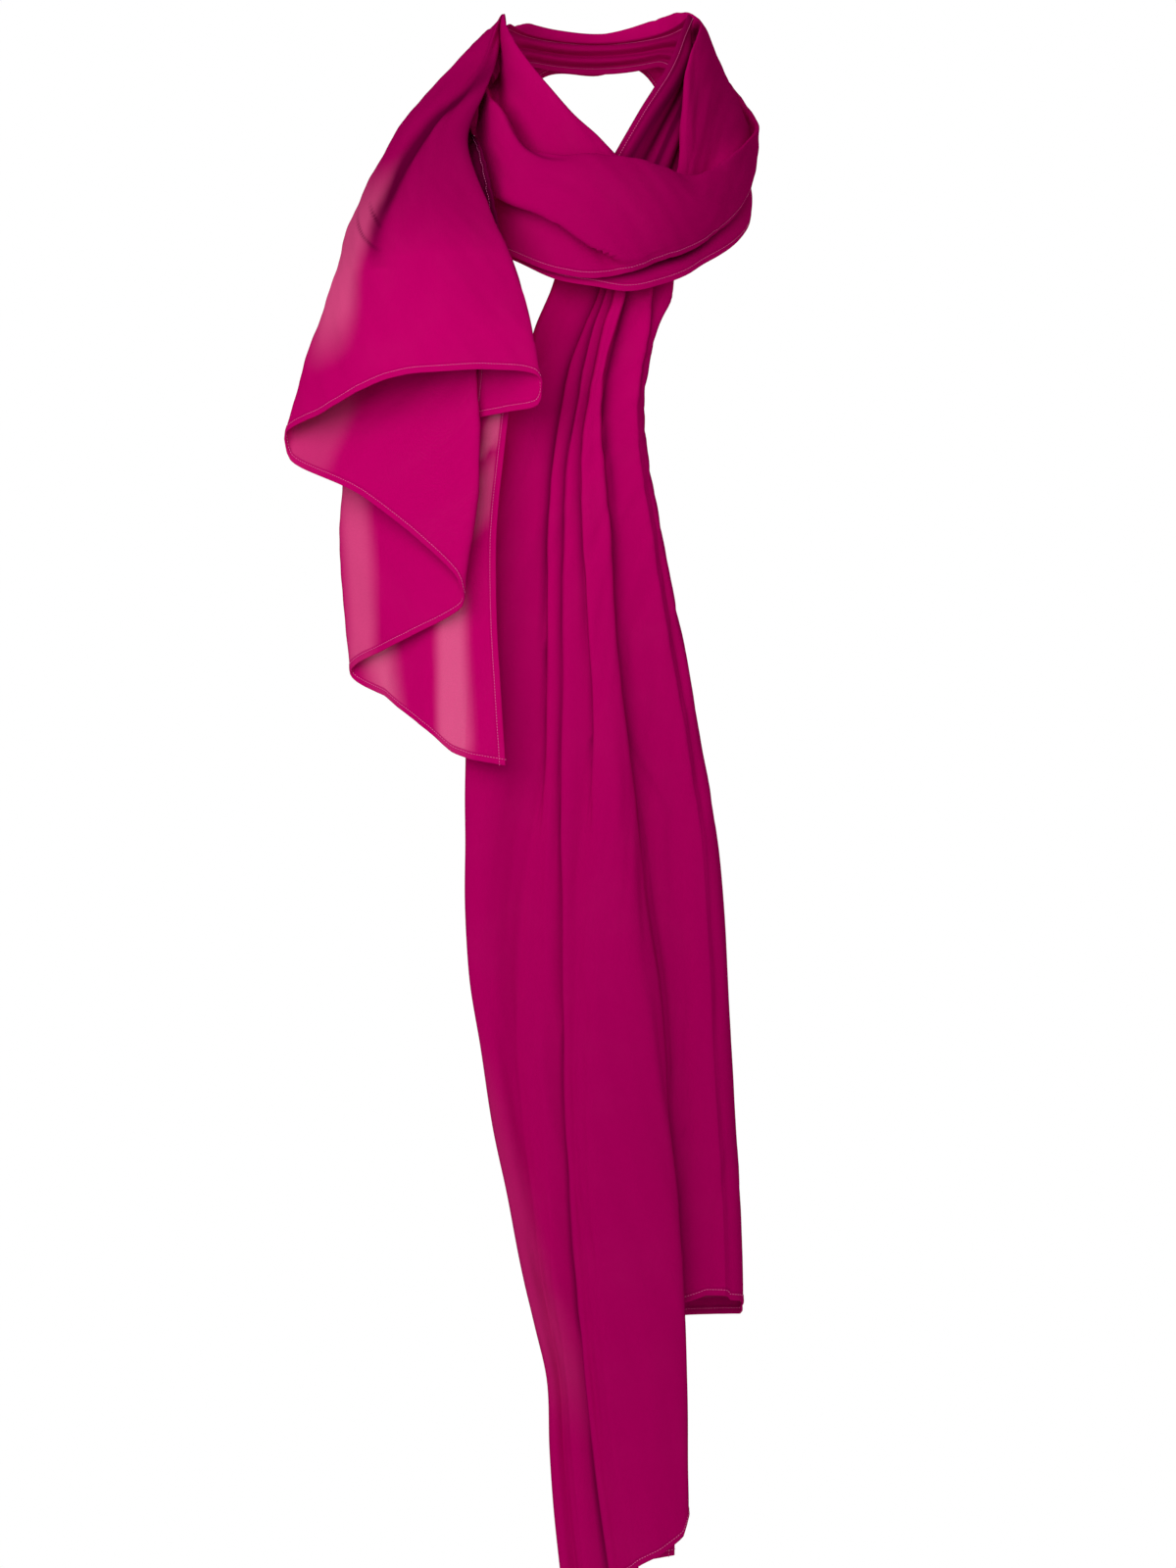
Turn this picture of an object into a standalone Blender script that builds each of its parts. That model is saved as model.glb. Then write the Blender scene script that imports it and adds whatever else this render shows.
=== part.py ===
"""A long semi-sheer stole, wound once round an empty neck and left hanging.

One end comes up the front as the long fall, passes behind the loop, rounds the nape, crosses the
front as the loop, rounds the nape again and drops over one shoulder in a cascade of folds.
The cloth is one length, so each stretch that shows is a wall of its own along the same length.

Run it with: blender --background --python part.py
The tables are in millimetres, +Z up, -Y towards the front, and the origin is on the neck's axis
at the nape, where a wearer's neck carries the stole.
"""

import bpy
import numpy as np

MM = 0.001
CLOTH = 1.1          # wall of the cloth

FUCHSIA = (0.50, 0.0, 0.115, 1.0)


# ---------------------------------------------------------------- curves and walls

def table(names, *rows):
    """The rows of a table as one array for each named column."""
    return dict(zip(names.split(), np.array(rows, float).T))


def slopes(knots, values):
    """Slope of a smooth curve at each of its knots."""
    steps = np.diff(knots, axis=0)
    runs = np.diff(values, axis=0) / steps
    inner = (runs[:-1] * steps[1:] + runs[1:] * steps[:-1]) / (steps[:-1] + steps[1:])
    return np.concatenate([runs[:1], inner, runs[-1:]])


def hermite(start, end, slope_start, slope_end, step, share):
    """Point on a cubic between two knots."""
    square, cube = share ** 2, share ** 3
    return ((2 * cube - 3 * square + 1) * start + (cube - 2 * square + share) * step * slope_start
            + (3 * square - 2 * cube) * end + (cube - square) * step * slope_end)


def read(rows, key, name, at):
    """Column `name` of a table at any value of its column `key`, on a smooth curve."""
    order = np.argsort(rows[key])
    knots, values = rows[key][order], rows[name][order]
    slope = slopes(knots, values)
    at = np.clip(at, knots[0], knots[-1])
    i = np.clip(np.searchsorted(knots, at) - 1, 0, len(knots) - 2)
    step = knots[i + 1] - knots[i]
    return hermite(values[i], values[i + 1], slope[i], slope[i + 1], step, (at - knots[i]) / step)


def ramp(value, low, high):
    """0 at low, 1 at high, with a soft start and end."""
    share = np.clip((value - low) / (high - low), 0, 1)
    return share * share * (3 - 2 * share)


def across(nodes, samples):
    """A smooth line through each row of nodes, with `samples` points in each gap."""
    nodes = np.moveaxis(nodes, 1, 0)
    chords = np.maximum(np.linalg.norm(np.diff(nodes, axis=0), axis=2, keepdims=True), 0.3)
    knots = np.concatenate([np.zeros_like(chords[:1]), np.cumsum(np.sqrt(chords), axis=0)])
    slope = slopes(knots, nodes)
    line = []
    for i, count in enumerate(samples):
        step = knots[i + 1] - knots[i]
        for k in range(count):
            line.append(hermite(nodes[i], nodes[i + 1], slope[i], slope[i + 1], step, k / count))
    line.append(nodes[-1])
    return np.stack(line, axis=1)


def spread(low, high, count):
    return np.linspace(low, high, count)


def material(name):
    cloth = bpy.data.materials.new(name + "_georgette")
    cloth.use_nodes = True
    shader = cloth.node_tree.nodes["Principled BSDF"]
    shader.inputs["Base Color"].default_value = FUCHSIA
    shader.inputs["Roughness"].default_value = 0.72
    shader.inputs["Metallic"].default_value = 0.0
    return cloth


def wall(name, grid):
    """A closed wall of cloth on a grid of points."""
    rows, columns = grid.shape[:2]
    corner = np.arange(rows * columns).reshape(rows, columns)
    faces = np.stack([corner[:-1, :-1], corner[:-1, 1:], corner[1:, 1:], corner[1:, :-1]], axis=-1)
    mesh = bpy.data.meshes.new(name)
    mesh.from_pydata((grid.reshape(-1, 3) * MM).tolist(), [], faces.reshape(-1, 4).tolist())
    mesh.materials.append(material(name))
    mesh.shade_smooth()
    thing = bpy.data.objects.new(name, mesh)
    bpy.context.scene.collection.objects.link(thing)
    solidify = thing.modifiers.new("wall", "SOLIDIFY")
    solidify.thickness = CLOTH * MM
    solidify.offset = 0.0


# ---------------------------------------------------------------- the long fall

# Silhouettes and the noses of the five pleats, from side to side, at each height.
LONG_FALL = table(
    "height  left  nose_1  nose_2  nose_3  nose_4  nose_5  right  depth",
    (-126,   -22,    2,      8,      13,     20,     40,     50,   -67),
    (-155,   -29,    1,      7,      12,     20,     38,     51,   -72),
    (-180,   -40,    -9,     -2,     5,      14,     37,     41,   -76),
    (-200,   -45,    -17,    -7,     1,      8,      33,     36,   -80),
    (-230,   -53,    -24,    -12,    -6,     4,      29,     32,   -82),
    (-260,   -62,    -29,    -18,    -10,    5,      30,     34,   -83),
    (-312,   -71,    -33,    -21,    -10,    10,     38,     43,   -83),
    (-365,   -79,    -34,    -22,    -7,     13,     46,     53,   -83),
    (-415,   -84,    -34,    -22,    -4,     17,     55,     63,   -83),
    (-458,   -85,    -34,    -23,    -4,     24,     62,     70,   -82),
    (-509,   -86,    -37,    -23,    -4,     30,     70,     79,   -81),
    (-560,   -86,    -40,    -22,    -4,     35,     74,     84,   -80),
    (-610,   -83,    -42,    -22,    -6,     43,     77,     87,   -79),
    (-654,   -76,    -43,    -21,    -9,     47,     79,     89,   -78),
    (-707,   -68,    -40,    -20,    -9,     51,     82,     92,   -77),
    (-754,   -58,    -36,    -17,    -7,     55,     85,     95,   -76),
    (-810,   -47,    -31,    -13,    -2,     58,     87,     97,   -74),
    (-875,   -32,    -21,    -7,     3,      60,     87,     97,   -72),
    (-921,   -30,    -18,    -2,     9,      61,     86,     96,   -72),
    (-1025,  -21,    -7,     12,     24,     60,     84,     94,   -72),
)
FALL_TOP = -127.8
LAYER = 2.3                # from one layer of a pressed pleat to the next, at the gather
LAYER_LOW = 3.8            # and in the loose cloth at the foot
TUCK = 13.0                # width of cloth hidden inside a pleat


def pleat(nose, tuck, soft, start, end, facing):
    """Six nodes of one pleat as (x, y), from the strip on its left to the strip on its right.
    start and end are the depths of the two strips; facing is 1 where the right strip lies on top and -1
    where the left one does. The tuck is the width of cloth hidden behind the nose."""
    if facing > 0:
        reach = (1.0, 1.12, 0.95, 0.12, 0.0, 0.14)
    else:
        reach = (-0.14, 0.0, -0.12, -0.95, -1.12, -1.0)
    apart = (-1.0, -0.6, -0.2, 0.2, 0.6, 1.0)
    lift = (0.0, 0.21, 0.42, 0.58, 0.79, 1.0)
    return [(nose + tuck * r + soft * a, start + (end - start) * s) for r, a, s in zip(reach, apart, lift)]


def fall_nodes(z):
    """The cloth's path from side to side at the heights z: back-left hem, front pleats, back-right hem."""
    row = {name: read(LONG_FALL, "height", name, z) for name in LONG_FALL}
    left, right, depth = row["left"], row["right"], row["depth"]
    low = ramp(-z, 250, 650)
    layer = LAYER + (LAYER_LOW - LAYER) * low
    fade = ramp(-z, 330, 560)
    firm = TUCK * (0.55 + 0.45 * ramp(-z, 140, 260)) * (1 + 0.4 * low)
    faint = firm * (1 - fade)
    soft = 1.0 + 2.0 * fade
    between = row["nose_4"] - row["nose_3"]
    firm_4 = np.minimum(firm, 0.45 * between)
    faint_3 = np.minimum(faint, 0.8 * (between - 2) - firm_4)
    firm_2 = np.minimum(firm, 0.85 * (row["nose_4"] - row["nose_2"] - 3) - firm_4)
    panel = row["nose_1"] - left
    soft_1 = np.minimum(3 * soft, np.minimum(0.24 * panel, 0.4 * (row["nose_2"] - row["nose_1"])))
    soft_3 = np.minimum(2.5 * soft, np.minimum(0.4 * (row["nose_3"] - row["nose_2"]), 0.25 * between))
    last = 0.6 * firm * (1 - ramp(-z, 180, 250))
    step_faint = 5.0 + 1.5 * fade
    puff = np.minimum(1, panel / 45)
    level = [depth]
    for step in (step_faint, 2 * layer, step_faint, -3.0 * layer, -2 * layer * (1 - 0.7 * fade)):
        level.append(level[-1] - step)
    room = 0.35 + 0.65 * ramp(-z, 150, 320)
    wave = 5.0 * room
    back = depth + 5 + 4 * room
    behind = back + 5 + 6 * room
    reach = row["nose_4"] - 4 - left
    width = right - left
    nodes = [
        (left + 0.95 * reach, back),
        (left + 0.68 * reach, back - 0.5 * wave),
        (left + 0.38 * reach, back + 0.6 * wave),
        (left + 0.15 * reach, back - 0.1 * wave),
        (left + 1.2, back - 2.5 * room),
        (left, (depth + back) / 2 - 0.5),
        (left + 1.6, depth - 0.5),
        (left + 0.34 * panel, depth - (2.5 * room + 3 * low) * puff),
        (left + 0.64 * panel, depth - 1.5 * room * puff),
    ]
    nodes += pleat(row["nose_1"], faint, soft_1, level[0], level[1], 1)
    nodes += pleat(row["nose_2"], firm_2, 0.4, level[1], level[2], 1)
    nodes += pleat(row["nose_3"], faint_3, soft_3, level[2], level[3], 1)
    nodes.append(((row["nose_3"] + row["nose_4"]) / 2 + 0.1 * between, level[3] - 2.5 * low))
    nodes += pleat(row["nose_4"], firm_4, 0.4, level[3], level[4], -1)
    nodes.append(((row["nose_4"] + row["nose_5"]) / 2, level[4] + 1.0 * low))
    nodes += pleat(row["nose_5"], last, 1.5, level[4], level[5], -1)
    nodes += [
        (right - 1.2, (level[5] + depth) / 2),
        (right, (depth + behind) / 2 + 1),
        (right - 1.6, behind - 1),
        (right - 0.18 * width, behind + 0.7 * wave),
        (right - 0.36 * width, behind - 0.2 * wave),
        (right - 0.55 * width, behind + 0.8 * wave),
        (right - 0.72 * width, behind),
    ]
    return nodes


def flat_nodes(pairs, z):
    """(x, y) pairs at heights z as rows of points."""
    x = np.stack([np.broadcast_to(p[0], z.shape) for p in pairs], axis=1)
    y = np.stack([np.broadcast_to(p[1], z.shape) for p in pairs], axis=1)
    return np.stack([x, y, np.repeat(z[:, None], len(pairs), axis=1)], axis=2)


# How low the hem hangs along the path, by the number of the node: the right-hand panels are shorter.
FALL_HEM = table(
    "node  foot",
    (0,    -992),
    (4,    -1006),
    (8,    -1014),
    (15,   -1010),
    (21,   -1004),
    (26,   -998),
    (28,   -975),
    (29,   -962),
    (31,   -940),
    (33,   -830),
    (34,   -818),
    (38,   -819),
    (41,   -822),
    (43,   -833),
    (47,   -836),
)


def long_fall(rows):
    """The grid of the long fall: each column of points ends at its own height."""
    share = spread(0, 1, rows)
    count = len(fall_nodes(np.array([FALL_TOP])))
    samples = [1] * (count - 1)
    place = across(np.arange(count, dtype=float)[None, :, None] * np.ones(3), samples)[0, :, 0]
    foot = np.interp(place, FALL_HEM["node"], FALL_HEM["foot"])
    heights = FALL_TOP + share[:, None] * (foot - FALL_TOP)[None, :]
    grid = np.empty(heights.shape + (3,))
    for column in range(heights.shape[1]):
        z = heights[:, column]
        grid[:, column] = across(flat_nodes(fall_nodes(z), z), samples)[:, column]
    return grid


# ---------------------------------------------------------------- the loop and the nape

# Sections round the neck: angle 0 is the front, 90 the right and 180 the nape; a radius and a height each.
LOOP = table(
    "angle neck_r neck_z valley_r valley_z rim_r rim_z belly_r belly_z nose_r nose_z tuck hem_r hem_z under_r under_z",
    (-104,  60,   44,    64,      14,      71,   6,    75,     -8,     75,    -28,   1,   73,   -46,  69,    -48),
    (-90,   60,   37,    65,      -5,      73,   -3,   77,     -22,    78,    -44,   2,   77,   -62,  72,    -64),
    (-75,   59,   26,    68,      -18,     77,   -8,   82,     -38,    84,    -62,   11,  82,   -84,  76,    -86),
    (-60,   60,   14,    72,      -38,     81,   -22,  89,     -54,    92,    -78,   21,  89,   -108, 83,    -110),
    (-45,   61,   0,     76,      -58,     87,   -35,  98,     -70,    101,   -90,   24,  95,   -125, 91,    -128),
    (-30,   62,   -17,   80,      -80,     91,   -61,  106,    -84,    109,   -101,  24,  100,  -136, 95,    -139),
    (-15,   64,   -35,   82,      -94,     95,   -68,  112,    -94,    113,   -112,  21,  103,  -146, 98,    -150),
    (0,     67,   -51,   84,      -98,     98,   -68,  115,    -98,    113,   -126,  12,  105,  -150, 100,   -155),
    (12,    71,   -66,   86,      -100,    100,  -70,  116,    -102,   111,   -135,  5,   106,  -146, 101,   -158),
    (25,    76,   -80,   89,      -104,    101,  -75,  116,    -103,   111,   -129,  1,   106,  -137, 101,   -153),
    (37,    79,   -84,   91,      -106,    103,  -80,  115,    -104,   110,   -122,  1,   106,  -129, 102,   -145),
    (44,    78,   -70,   91,      -102,    104,  -77,  115,    -100,   110,   -115,  1,   106,  -122, 102,   -138),
    (51,    74,   -22,   92,      -88,     105,  -71,  114,    -94,    110,   -108,  1,   106,  -114, 103,   -132),
    (60,    71,   2,     93,      -66,     106,  -62,  113,    -83,    110,   -97,   1,   107,  -103, 104,   -124),
    (74,    70,   22,    95,      -44,     107,  -49,  110,    -68,    109,   -80,   1,   107,  -86,  105,   -110),
    (88,    70,   32,    95,      -22,     109,  -38,  110,    -54,    108,   -64,   1,   106,  -70,  104,   -97),
    (104,   71,   38,    92,      -2,      107,  -22,  108,    -38,    107,   -50,   1,   105,  -56,  102,   -80),
    (120,   73,   45,    87,      8,       100,  4,    104,    -14,    103,   -30,   1,   101,  -36,  96,    -56),
    (138,   75,   47,    83,      24,      91,   41,   97,     14,     95,    -9,    1,   94,   -15,  86,    -28),
    (156,   76,   42,    83,      23,      90,   41,   96,     26,     95,    17,    1,   93,   12,   82,    9),
    (180,   76,   36,    83,      18,      90,   38,   96,     24,     95,    15,    1,   93,   11,   80,    8),
    (206,   76,   40,    83,      21,      90,   42,   96,     26,     95,    15,    1,   93,   10,   80,    6),
    (228,   76,   46,    83,      26,      90,   45,   96,     16,     95,    -8,    1,   93,   -16,  80,    -22),
)
LOOP_START = -95.0
LOOP_END = 139.0
SEAM = 0.6                 # degrees of air between the loop and the nape, about 1 mm
NAPE_END = 226.4
FOLD_RADIUS = 1.7          # half the gap inside a turned fold
# The fold under the belly: the share of the way to the hem if it runs straight, or how far in, and up by so
# many tucks and so many millimetres, if it turns.
UNDER_FOLD = (
    (-0.15, -0.4, 0.0, 3.0),
    (0.1, 1.0, 0.0, -0.8),
    (0.25, 3.4, 0.0, 2.4),
    (0.4, 10.0, 0.9, 0.0),
    (0.55, 11.5, 1.05, 1.5),
    (0.7, 13.5, 0.8, 0.0),
    (0.85, 12.0, 0.1, 0.0),
)


def round_neck(angle, radius, height):
    """A point at an angle round the neck, in the row frame."""
    turn = np.radians(angle)
    return np.stack([radius * np.sin(turn), -radius * np.cos(turn), height + 0 * radius], axis=-1)


def loop_nodes(angle):
    """The loop's path across the cloth: from the under hem up the neck side, over the neckline and the rim,
    and down to the outer hem."""
    row = {name: read(LOOP, "angle", name, angle) for name in LOOP}
    lining_r = row["valley_r"] - 8 - 2 * ramp(row["tuck"], 4, 12)
    apart = row["hem_z"] - row["under_z"]
    bulge = 2.5 * ramp(apart, 8, 24)
    nodes = [
        (row["under_r"], row["under_z"]),
        (row["under_r"] - 1 + bulge, row["under_z"] + 0.45 * apart + 3),
        (0.45 * row["under_r"] + 0.55 * lining_r, 0.55 * row["under_z"] + 0.45 * row["valley_z"]),
        (lining_r, row["valley_z"] + 6),
        (row["neck_r"] + 0.1, row["neck_z"] - 10),
        (row["neck_r"] + FOLD_RADIUS, row["neck_z"]),
        (row["neck_r"] + 2.4 * FOLD_RADIUS, row["neck_z"] - 4),
        (0.5 * row["neck_r"] + 0.5 * row["valley_r"] + 1.5, 0.45 * row["neck_z"] + 0.55 * row["valley_z"]),
        (row["valley_r"], row["valley_z"]),
        (row["rim_r"] - 2.6, row["rim_z"] - 7),
        (row["rim_r"] - 1.2, row["rim_z"] - 1),
        (row["rim_r"] + 1.5, row["rim_z"]),
        (0.4 * row["rim_r"] + 0.6 * row["belly_r"], 0.68 * row["rim_z"] + 0.32 * row["belly_z"]),
        (row["belly_r"], row["belly_z"]),
    ]
    # the fold under the belly turns up into a tuck, or runs straight on to the hem where the tuck fades
    kept = ramp(row["tuck"], 1, 9)
    drop, step = row["nose_z"] - row["hem_z"], row["nose_r"] - row["hem_r"]
    for plain, inward, upward, more in UNDER_FOLD:
        nodes.append((row["nose_r"] - (1 - kept) * plain * step - kept * inward,
                      row["nose_z"] - (1 - kept) * plain * drop + kept * (upward * row["tuck"] + more)))
    nodes.append((row["hem_r"], row["hem_z"]))
    radius = np.stack([n[0] for n in nodes], axis=1)
    height = np.stack([n[1] for n in nodes], axis=1)
    return round_neck(angle[:, None] + 0 * radius, radius, height)


def loop(start, end, rows, per_gap):
    angle = spread(start, end, rows)
    nodes = loop_nodes(angle)
    return across(nodes, [per_gap] * (nodes.shape[1] - 1))


# The first pass behind the neck: a gathered band just inside the outer pass.
NAPE_BAND = table(
    "share  radius  height",
    (0.00,  63,     35),
    (0.10,  66,     32),
    (0.26,  62,     22),
    (0.42,  66.5,   13),
    (0.58,  62,     4),
    (0.74,  66,     -5),
    (0.90,  62,     -13),
    (1.00,  63,     -17),
)
NAPE_BAND_START = 83.6
NAPE_BAND_END = 264.25
NAPE_NARROW = 0.58         # share of its height that the band loses where it is gathered most


def nape_band(rows, per_gap):
    angle = spread(NAPE_BAND_START, NAPE_BAND_END, rows)
    dip = 6 * np.sin(np.radians(angle - 90)) ** 2
    rise = 0.12 * ramp(np.abs(angle - 180), 40, 90)
    narrow = NAPE_NARROW * ramp(90 - np.abs(angle - 180), 0, 50)
    top = NAPE_BAND["height"][0]
    radius = NAPE_BAND["radius"][None] + 0 * angle[:, None]
    height = top - (top - NAPE_BAND["height"][None]) * (1 - narrow[:, None])
    height = height * (1 + rise[:, None]) - dip[:, None]
    nodes = round_neck(angle[:, None] + 0 * radius, radius, height)
    return across(nodes, [per_gap] * (nodes.shape[1] - 1))


# ---------------------------------------------------------------- the rise beside the neck

# The cloth of the long fall going on up: its neckline edge and its outer edge.
RISE = table(
    "share  inner_x  inner_y  inner_z  outer_x  outer_y  outer_z",
    (0.00,  -21,     -66,     -127,    50,      -62,     -127),
    (0.20,  -6,      -61,     -98,     57,      -52,     -113),
    (0.40,  12,      -58,     -64,     62,      -41,     -94),
    (0.60,  31,      -52,     -30,     66,      -30,     -70),
    (0.80,  50,      -34,     3,       69,      -15,     -44),
    (0.92,  58,      -15,     26,      68,      -13,     -32),
    (1.00,  61,      -8,      36,      65,      -8,      -26),
)
# Ridges and hollows across the rise, as distances out from the neck.
RISE_RELIEF = table(
    "share  out",
    (0.00,  0),
    (0.04,  2.2),
    (0.20,  3.4),
    (0.34,  -1.5),
    (0.42,  -1.0),
    (0.52,  3.6),
    (0.66,  -1.0),
    (0.78,  3.0),
    (0.90,  0.5),
    (1.00,  1.5),
)


def neck_rise(rows, per_gap):
    share = spread(0, 1, rows)
    edge = {name: read(RISE, "share", name, share)[:, None] for name in RISE}
    part = RISE_RELIEF["share"][None]
    x = edge["inner_x"] + (edge["outer_x"] - edge["inner_x"]) * part
    y = edge["inner_y"] + (edge["outer_y"] - edge["inner_y"]) * part
    z = edge["inner_z"] + (edge["outer_z"] - edge["inner_z"]) * part
    # the band stays at its own distance from the neck's axis, bowed out in the middle
    bow = 5.0 * np.sin(np.pi * part) * (1 - 0.5 * share[:, None])
    radius = np.hypot(x, y)
    out = (radius + RISE_RELIEF["out"][None] + bow) / radius
    nodes = np.stack([x * out, y * out, z], axis=2)
    return across(nodes, [per_gap] * (nodes.shape[1] - 1))


# ---------------------------------------------------------------- the shoulder fall

# Lines that run down the cloth from the nape to the hem, in the order they lie across it: the hidden side hem,
# then turned folds, a ridge and a gutter in the front panel, and last the side hem that shows.
STATIONS = (0.0, 0.12, 0.25, 0.38, 0.52, 0.68, 0.84, 1.0)
SHOULDER = {
    "far_edge": table(
        "x     y     z",
        (-58,  54,   -19),
        (-72,  16,   5),
        (-76,  -32,  -12),
        (-90,  -75,  -61),
        (-79,  -102, -118),
        (-74,  -105, -160),
        (-76,  -105, -200),
        (-81,  -105, -242),
    ),
    "right_front": table(
        "x     y     z",
        (-59,  55,   2),
        (-68,  15,   17),
        (-68,  -34,  -4),
        (-86,  -78,  -55),
        (-71,  -109, -104),
        (-57,  -123, -139),
        (-44,  -127, -180),
        (-37,  -127, -225),
    ),
    "ridge": table(
        "x     y     z",
        (-61,  57,   20),
        (-70,  15,   24),
        (-75,  -29,  4),
        (-102, -66,  -50),
        (-108, -98,  -99),
        (-104, -117, -137),
        (-101, -127, -175),
        (-98,  -130, -213),
    ),
    "gutter": table(
        "x     y     z",
        (-63,  59,   34),
        (-75,  18,   27),
        (-78,  -14,  2),
        (-111, -40,  -37),
        (-141, -60,  -97),
        (-150, -82,  -139),
        (-151, -98,  -180),
        (-151, -108, -222),
    ),
    "left_front": table(
        "x     y     z",
        (-67,  62,   43),
        (-82,  21,   22),
        (-91,  4,    8),
        (-127, -8,   -35),
        (-159, -22,  -96),
        (-174, -34,  -147),
        (-190, -46,  -197),
        (-204, -58,  -257),
    ),
    "right_middle": table(
        "x     y     z",
        (-69,  64,   30),
        (-86,  22,   8),
        (-88,  -8,   -10),
        (-90,  -66,  -68),
        (-86,  -98,  -132),
        (-80,  -110, -205),
        (-78,  -112, -280),
        (-89,  -112, -356),
    ),
    "left_back": table(
        "x     y     z",
        (-70,  65,   8),
        (-86,  20,   -6),
        (-87,  -12,  -22),
        (-100, -40,  -76),
        (-137, -44,  -150),
        (-160, -45,  -226),
        (-168, -48,  -318),
        (-161, -52,  -409),
    ),
    "near_edge": table(
        "x     y     z",
        (-70,  65,   -20),
        (-80,  21,   -40),
        (-85,  -15,  -42),
        (-75,  -80,  -62),
        (-64,  -102, -112),
        (-52,  -104, -179),
        (-65,  -104, -327),
        (-59,  -103, -465),
    ),
}
# Folds among those lines: 1 where the cloth before the fold lies in front, and how far its hem steps down.
FOLDS = {
    "right_front": (-1, -9.0),
    "left_front": (1, 8.0),
    "right_middle": (1, 9.0),
    "left_back": (1, 4.5),
}
# Between two neighbouring lines: where the middle lies, how far it bows to the front at the shoulder and at
# the hem, and how far the hem sags there.
BOWS = table(
    "place  shoulder  hem    sag",
    (0.50,  1.0,      -1.5,  5.0),
    (0.50,  3.0,      3.0,   -7.0),
    (0.50,  3.0,      2.0,   -3.0),
    (0.50,  8.0,      5.0,   -4.0),
    (0.45,  2.0,      5.0,   -9.0),
    (0.50,  -1.0,     6.0,   3.0),
    (0.62,  -3.0,     11.0,  6.0),
)
TURN = 2.2                 # half the gap inside a turned fold of the shoulder fall


def unit(vectors):
    return vectors / np.maximum(np.linalg.norm(vectors, axis=1, keepdims=True), 1e-6)


def without(vectors, direction):
    """The part of each vector that is square to a unit direction."""
    return vectors - np.sum(vectors * direction, axis=1, keepdims=True) * direction


def shoulder_lines(share):
    lines = {}
    for name, rows in SHOULDER.items():
        placed = dict(rows, share=np.array(STATIONS))
        lines[name] = np.stack([read(placed, "share", axis, share) for axis in "xyz"], axis=1)
    return lines


def shoulder_nodes(share):
    lines, ahead = shoulder_lines(share), shoulder_lines(share + 0.01)
    behind = shoulder_lines(share - 0.01)
    names = list(lines)
    low, late = ramp(share, 0.45, 0.9), ramp(share, 0.75, 1.0)
    turn = (TURN * (0.7 + 0.3 * ramp(share, 0.2, 0.42)))[:, None]
    down = np.array([0.0, 0.0, -1.0])
    nodes = []
    for i, name in enumerate(names):
        line = lines[name]
        if name in FOLDS:
            front, step = FOLDS[name]
            run = unit(ahead[name] - behind[name])
            before = unit(without(lines[names[i - 1]] - line, run))
            after = unit(without(lines[names[i + 1]] - line, run))
            nose = -(before + after) / 2
            outward = unit(line * [1.0, 1.0, 0.0])
            across_fold = unit(without(without(before - after + 0.3 * front * outward, run), unit(nose)))
            apart = turn * across_fold
            fall = (late * step)[:, None] * down
            nodes += [line + apart - fall, line + turn * nose, line - apart + fall]
        else:
            nodes.append(line)
        if i < len(BOWS["place"]):
            bow = BOWS["shoulder"][i] * ramp(share, 0.24, 0.4) * (1 - low) + BOWS["hem"][i] * low
            middle = line + (lines[names[i + 1]] - line) * BOWS["place"][i]
            middle[:, 1] -= bow
            nodes.append(middle + (late * BOWS["sag"][i])[:, None] * down)
    return np.stack(nodes, axis=1)


def shoulder_fall(rows, per_gap):
    nodes = shoulder_nodes(spread(0, 1, rows) ** 1.25)
    return across(nodes, [per_gap] * (nodes.shape[1] - 1))


# ---------------------------------------------------------------- building

def clear_scene():
    for thing in list(bpy.data.objects):
        bpy.data.objects.remove(thing)


def main():
    clear_scene()
    for name, grid in (
        ("long_fall", long_fall(rows=26)),
        ("neck_rise", neck_rise(rows=10, per_gap=2)),
        ("nape_inner", nape_band(rows=18, per_gap=2)),
        ("front_loop", loop(LOOP_START, LOOP_END, rows=40, per_gap=1)),
        ("nape_outer", loop(LOOP_END + SEAM, NAPE_END, rows=14, per_gap=1)),
        ("shoulder_fall", shoulder_fall(rows=28, per_gap=2)),
    ):
        wall(name, grid)


main()
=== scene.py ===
"""Looks of a long semi-sheer stole, wound once round an empty neck and left hanging.

The cloth follows the tables of the solids, with finer folds, thickened hems, rows of stitches and a georgette
that is see-through in places, where the light coming through a single layer is painted in lighter, while the
shade in its folds and hollows is painted in darker. Lengths in the tables are in millimetres.
"""

import math

import bmesh
import bpy
import numpy as np
from bpy.props import FloatProperty, FloatVectorProperty, PointerProperty
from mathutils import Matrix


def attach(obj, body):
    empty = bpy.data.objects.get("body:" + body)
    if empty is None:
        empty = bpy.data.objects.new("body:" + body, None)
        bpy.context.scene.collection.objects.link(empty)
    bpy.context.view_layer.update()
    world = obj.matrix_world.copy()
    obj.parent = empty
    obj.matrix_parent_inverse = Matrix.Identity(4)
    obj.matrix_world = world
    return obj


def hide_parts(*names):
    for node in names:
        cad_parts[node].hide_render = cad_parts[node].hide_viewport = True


bl_info = {
    "name": "Wound Chiffon Stole",
    "version": (1, 0, 0),
    "blender": (4, 5, 0),
    "location": "View3D > Sidebar > Stole",
    "description": "Builds a wound semi-sheer stole with stitched hems round an empty neck",
    "category": "Object",
}

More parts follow.
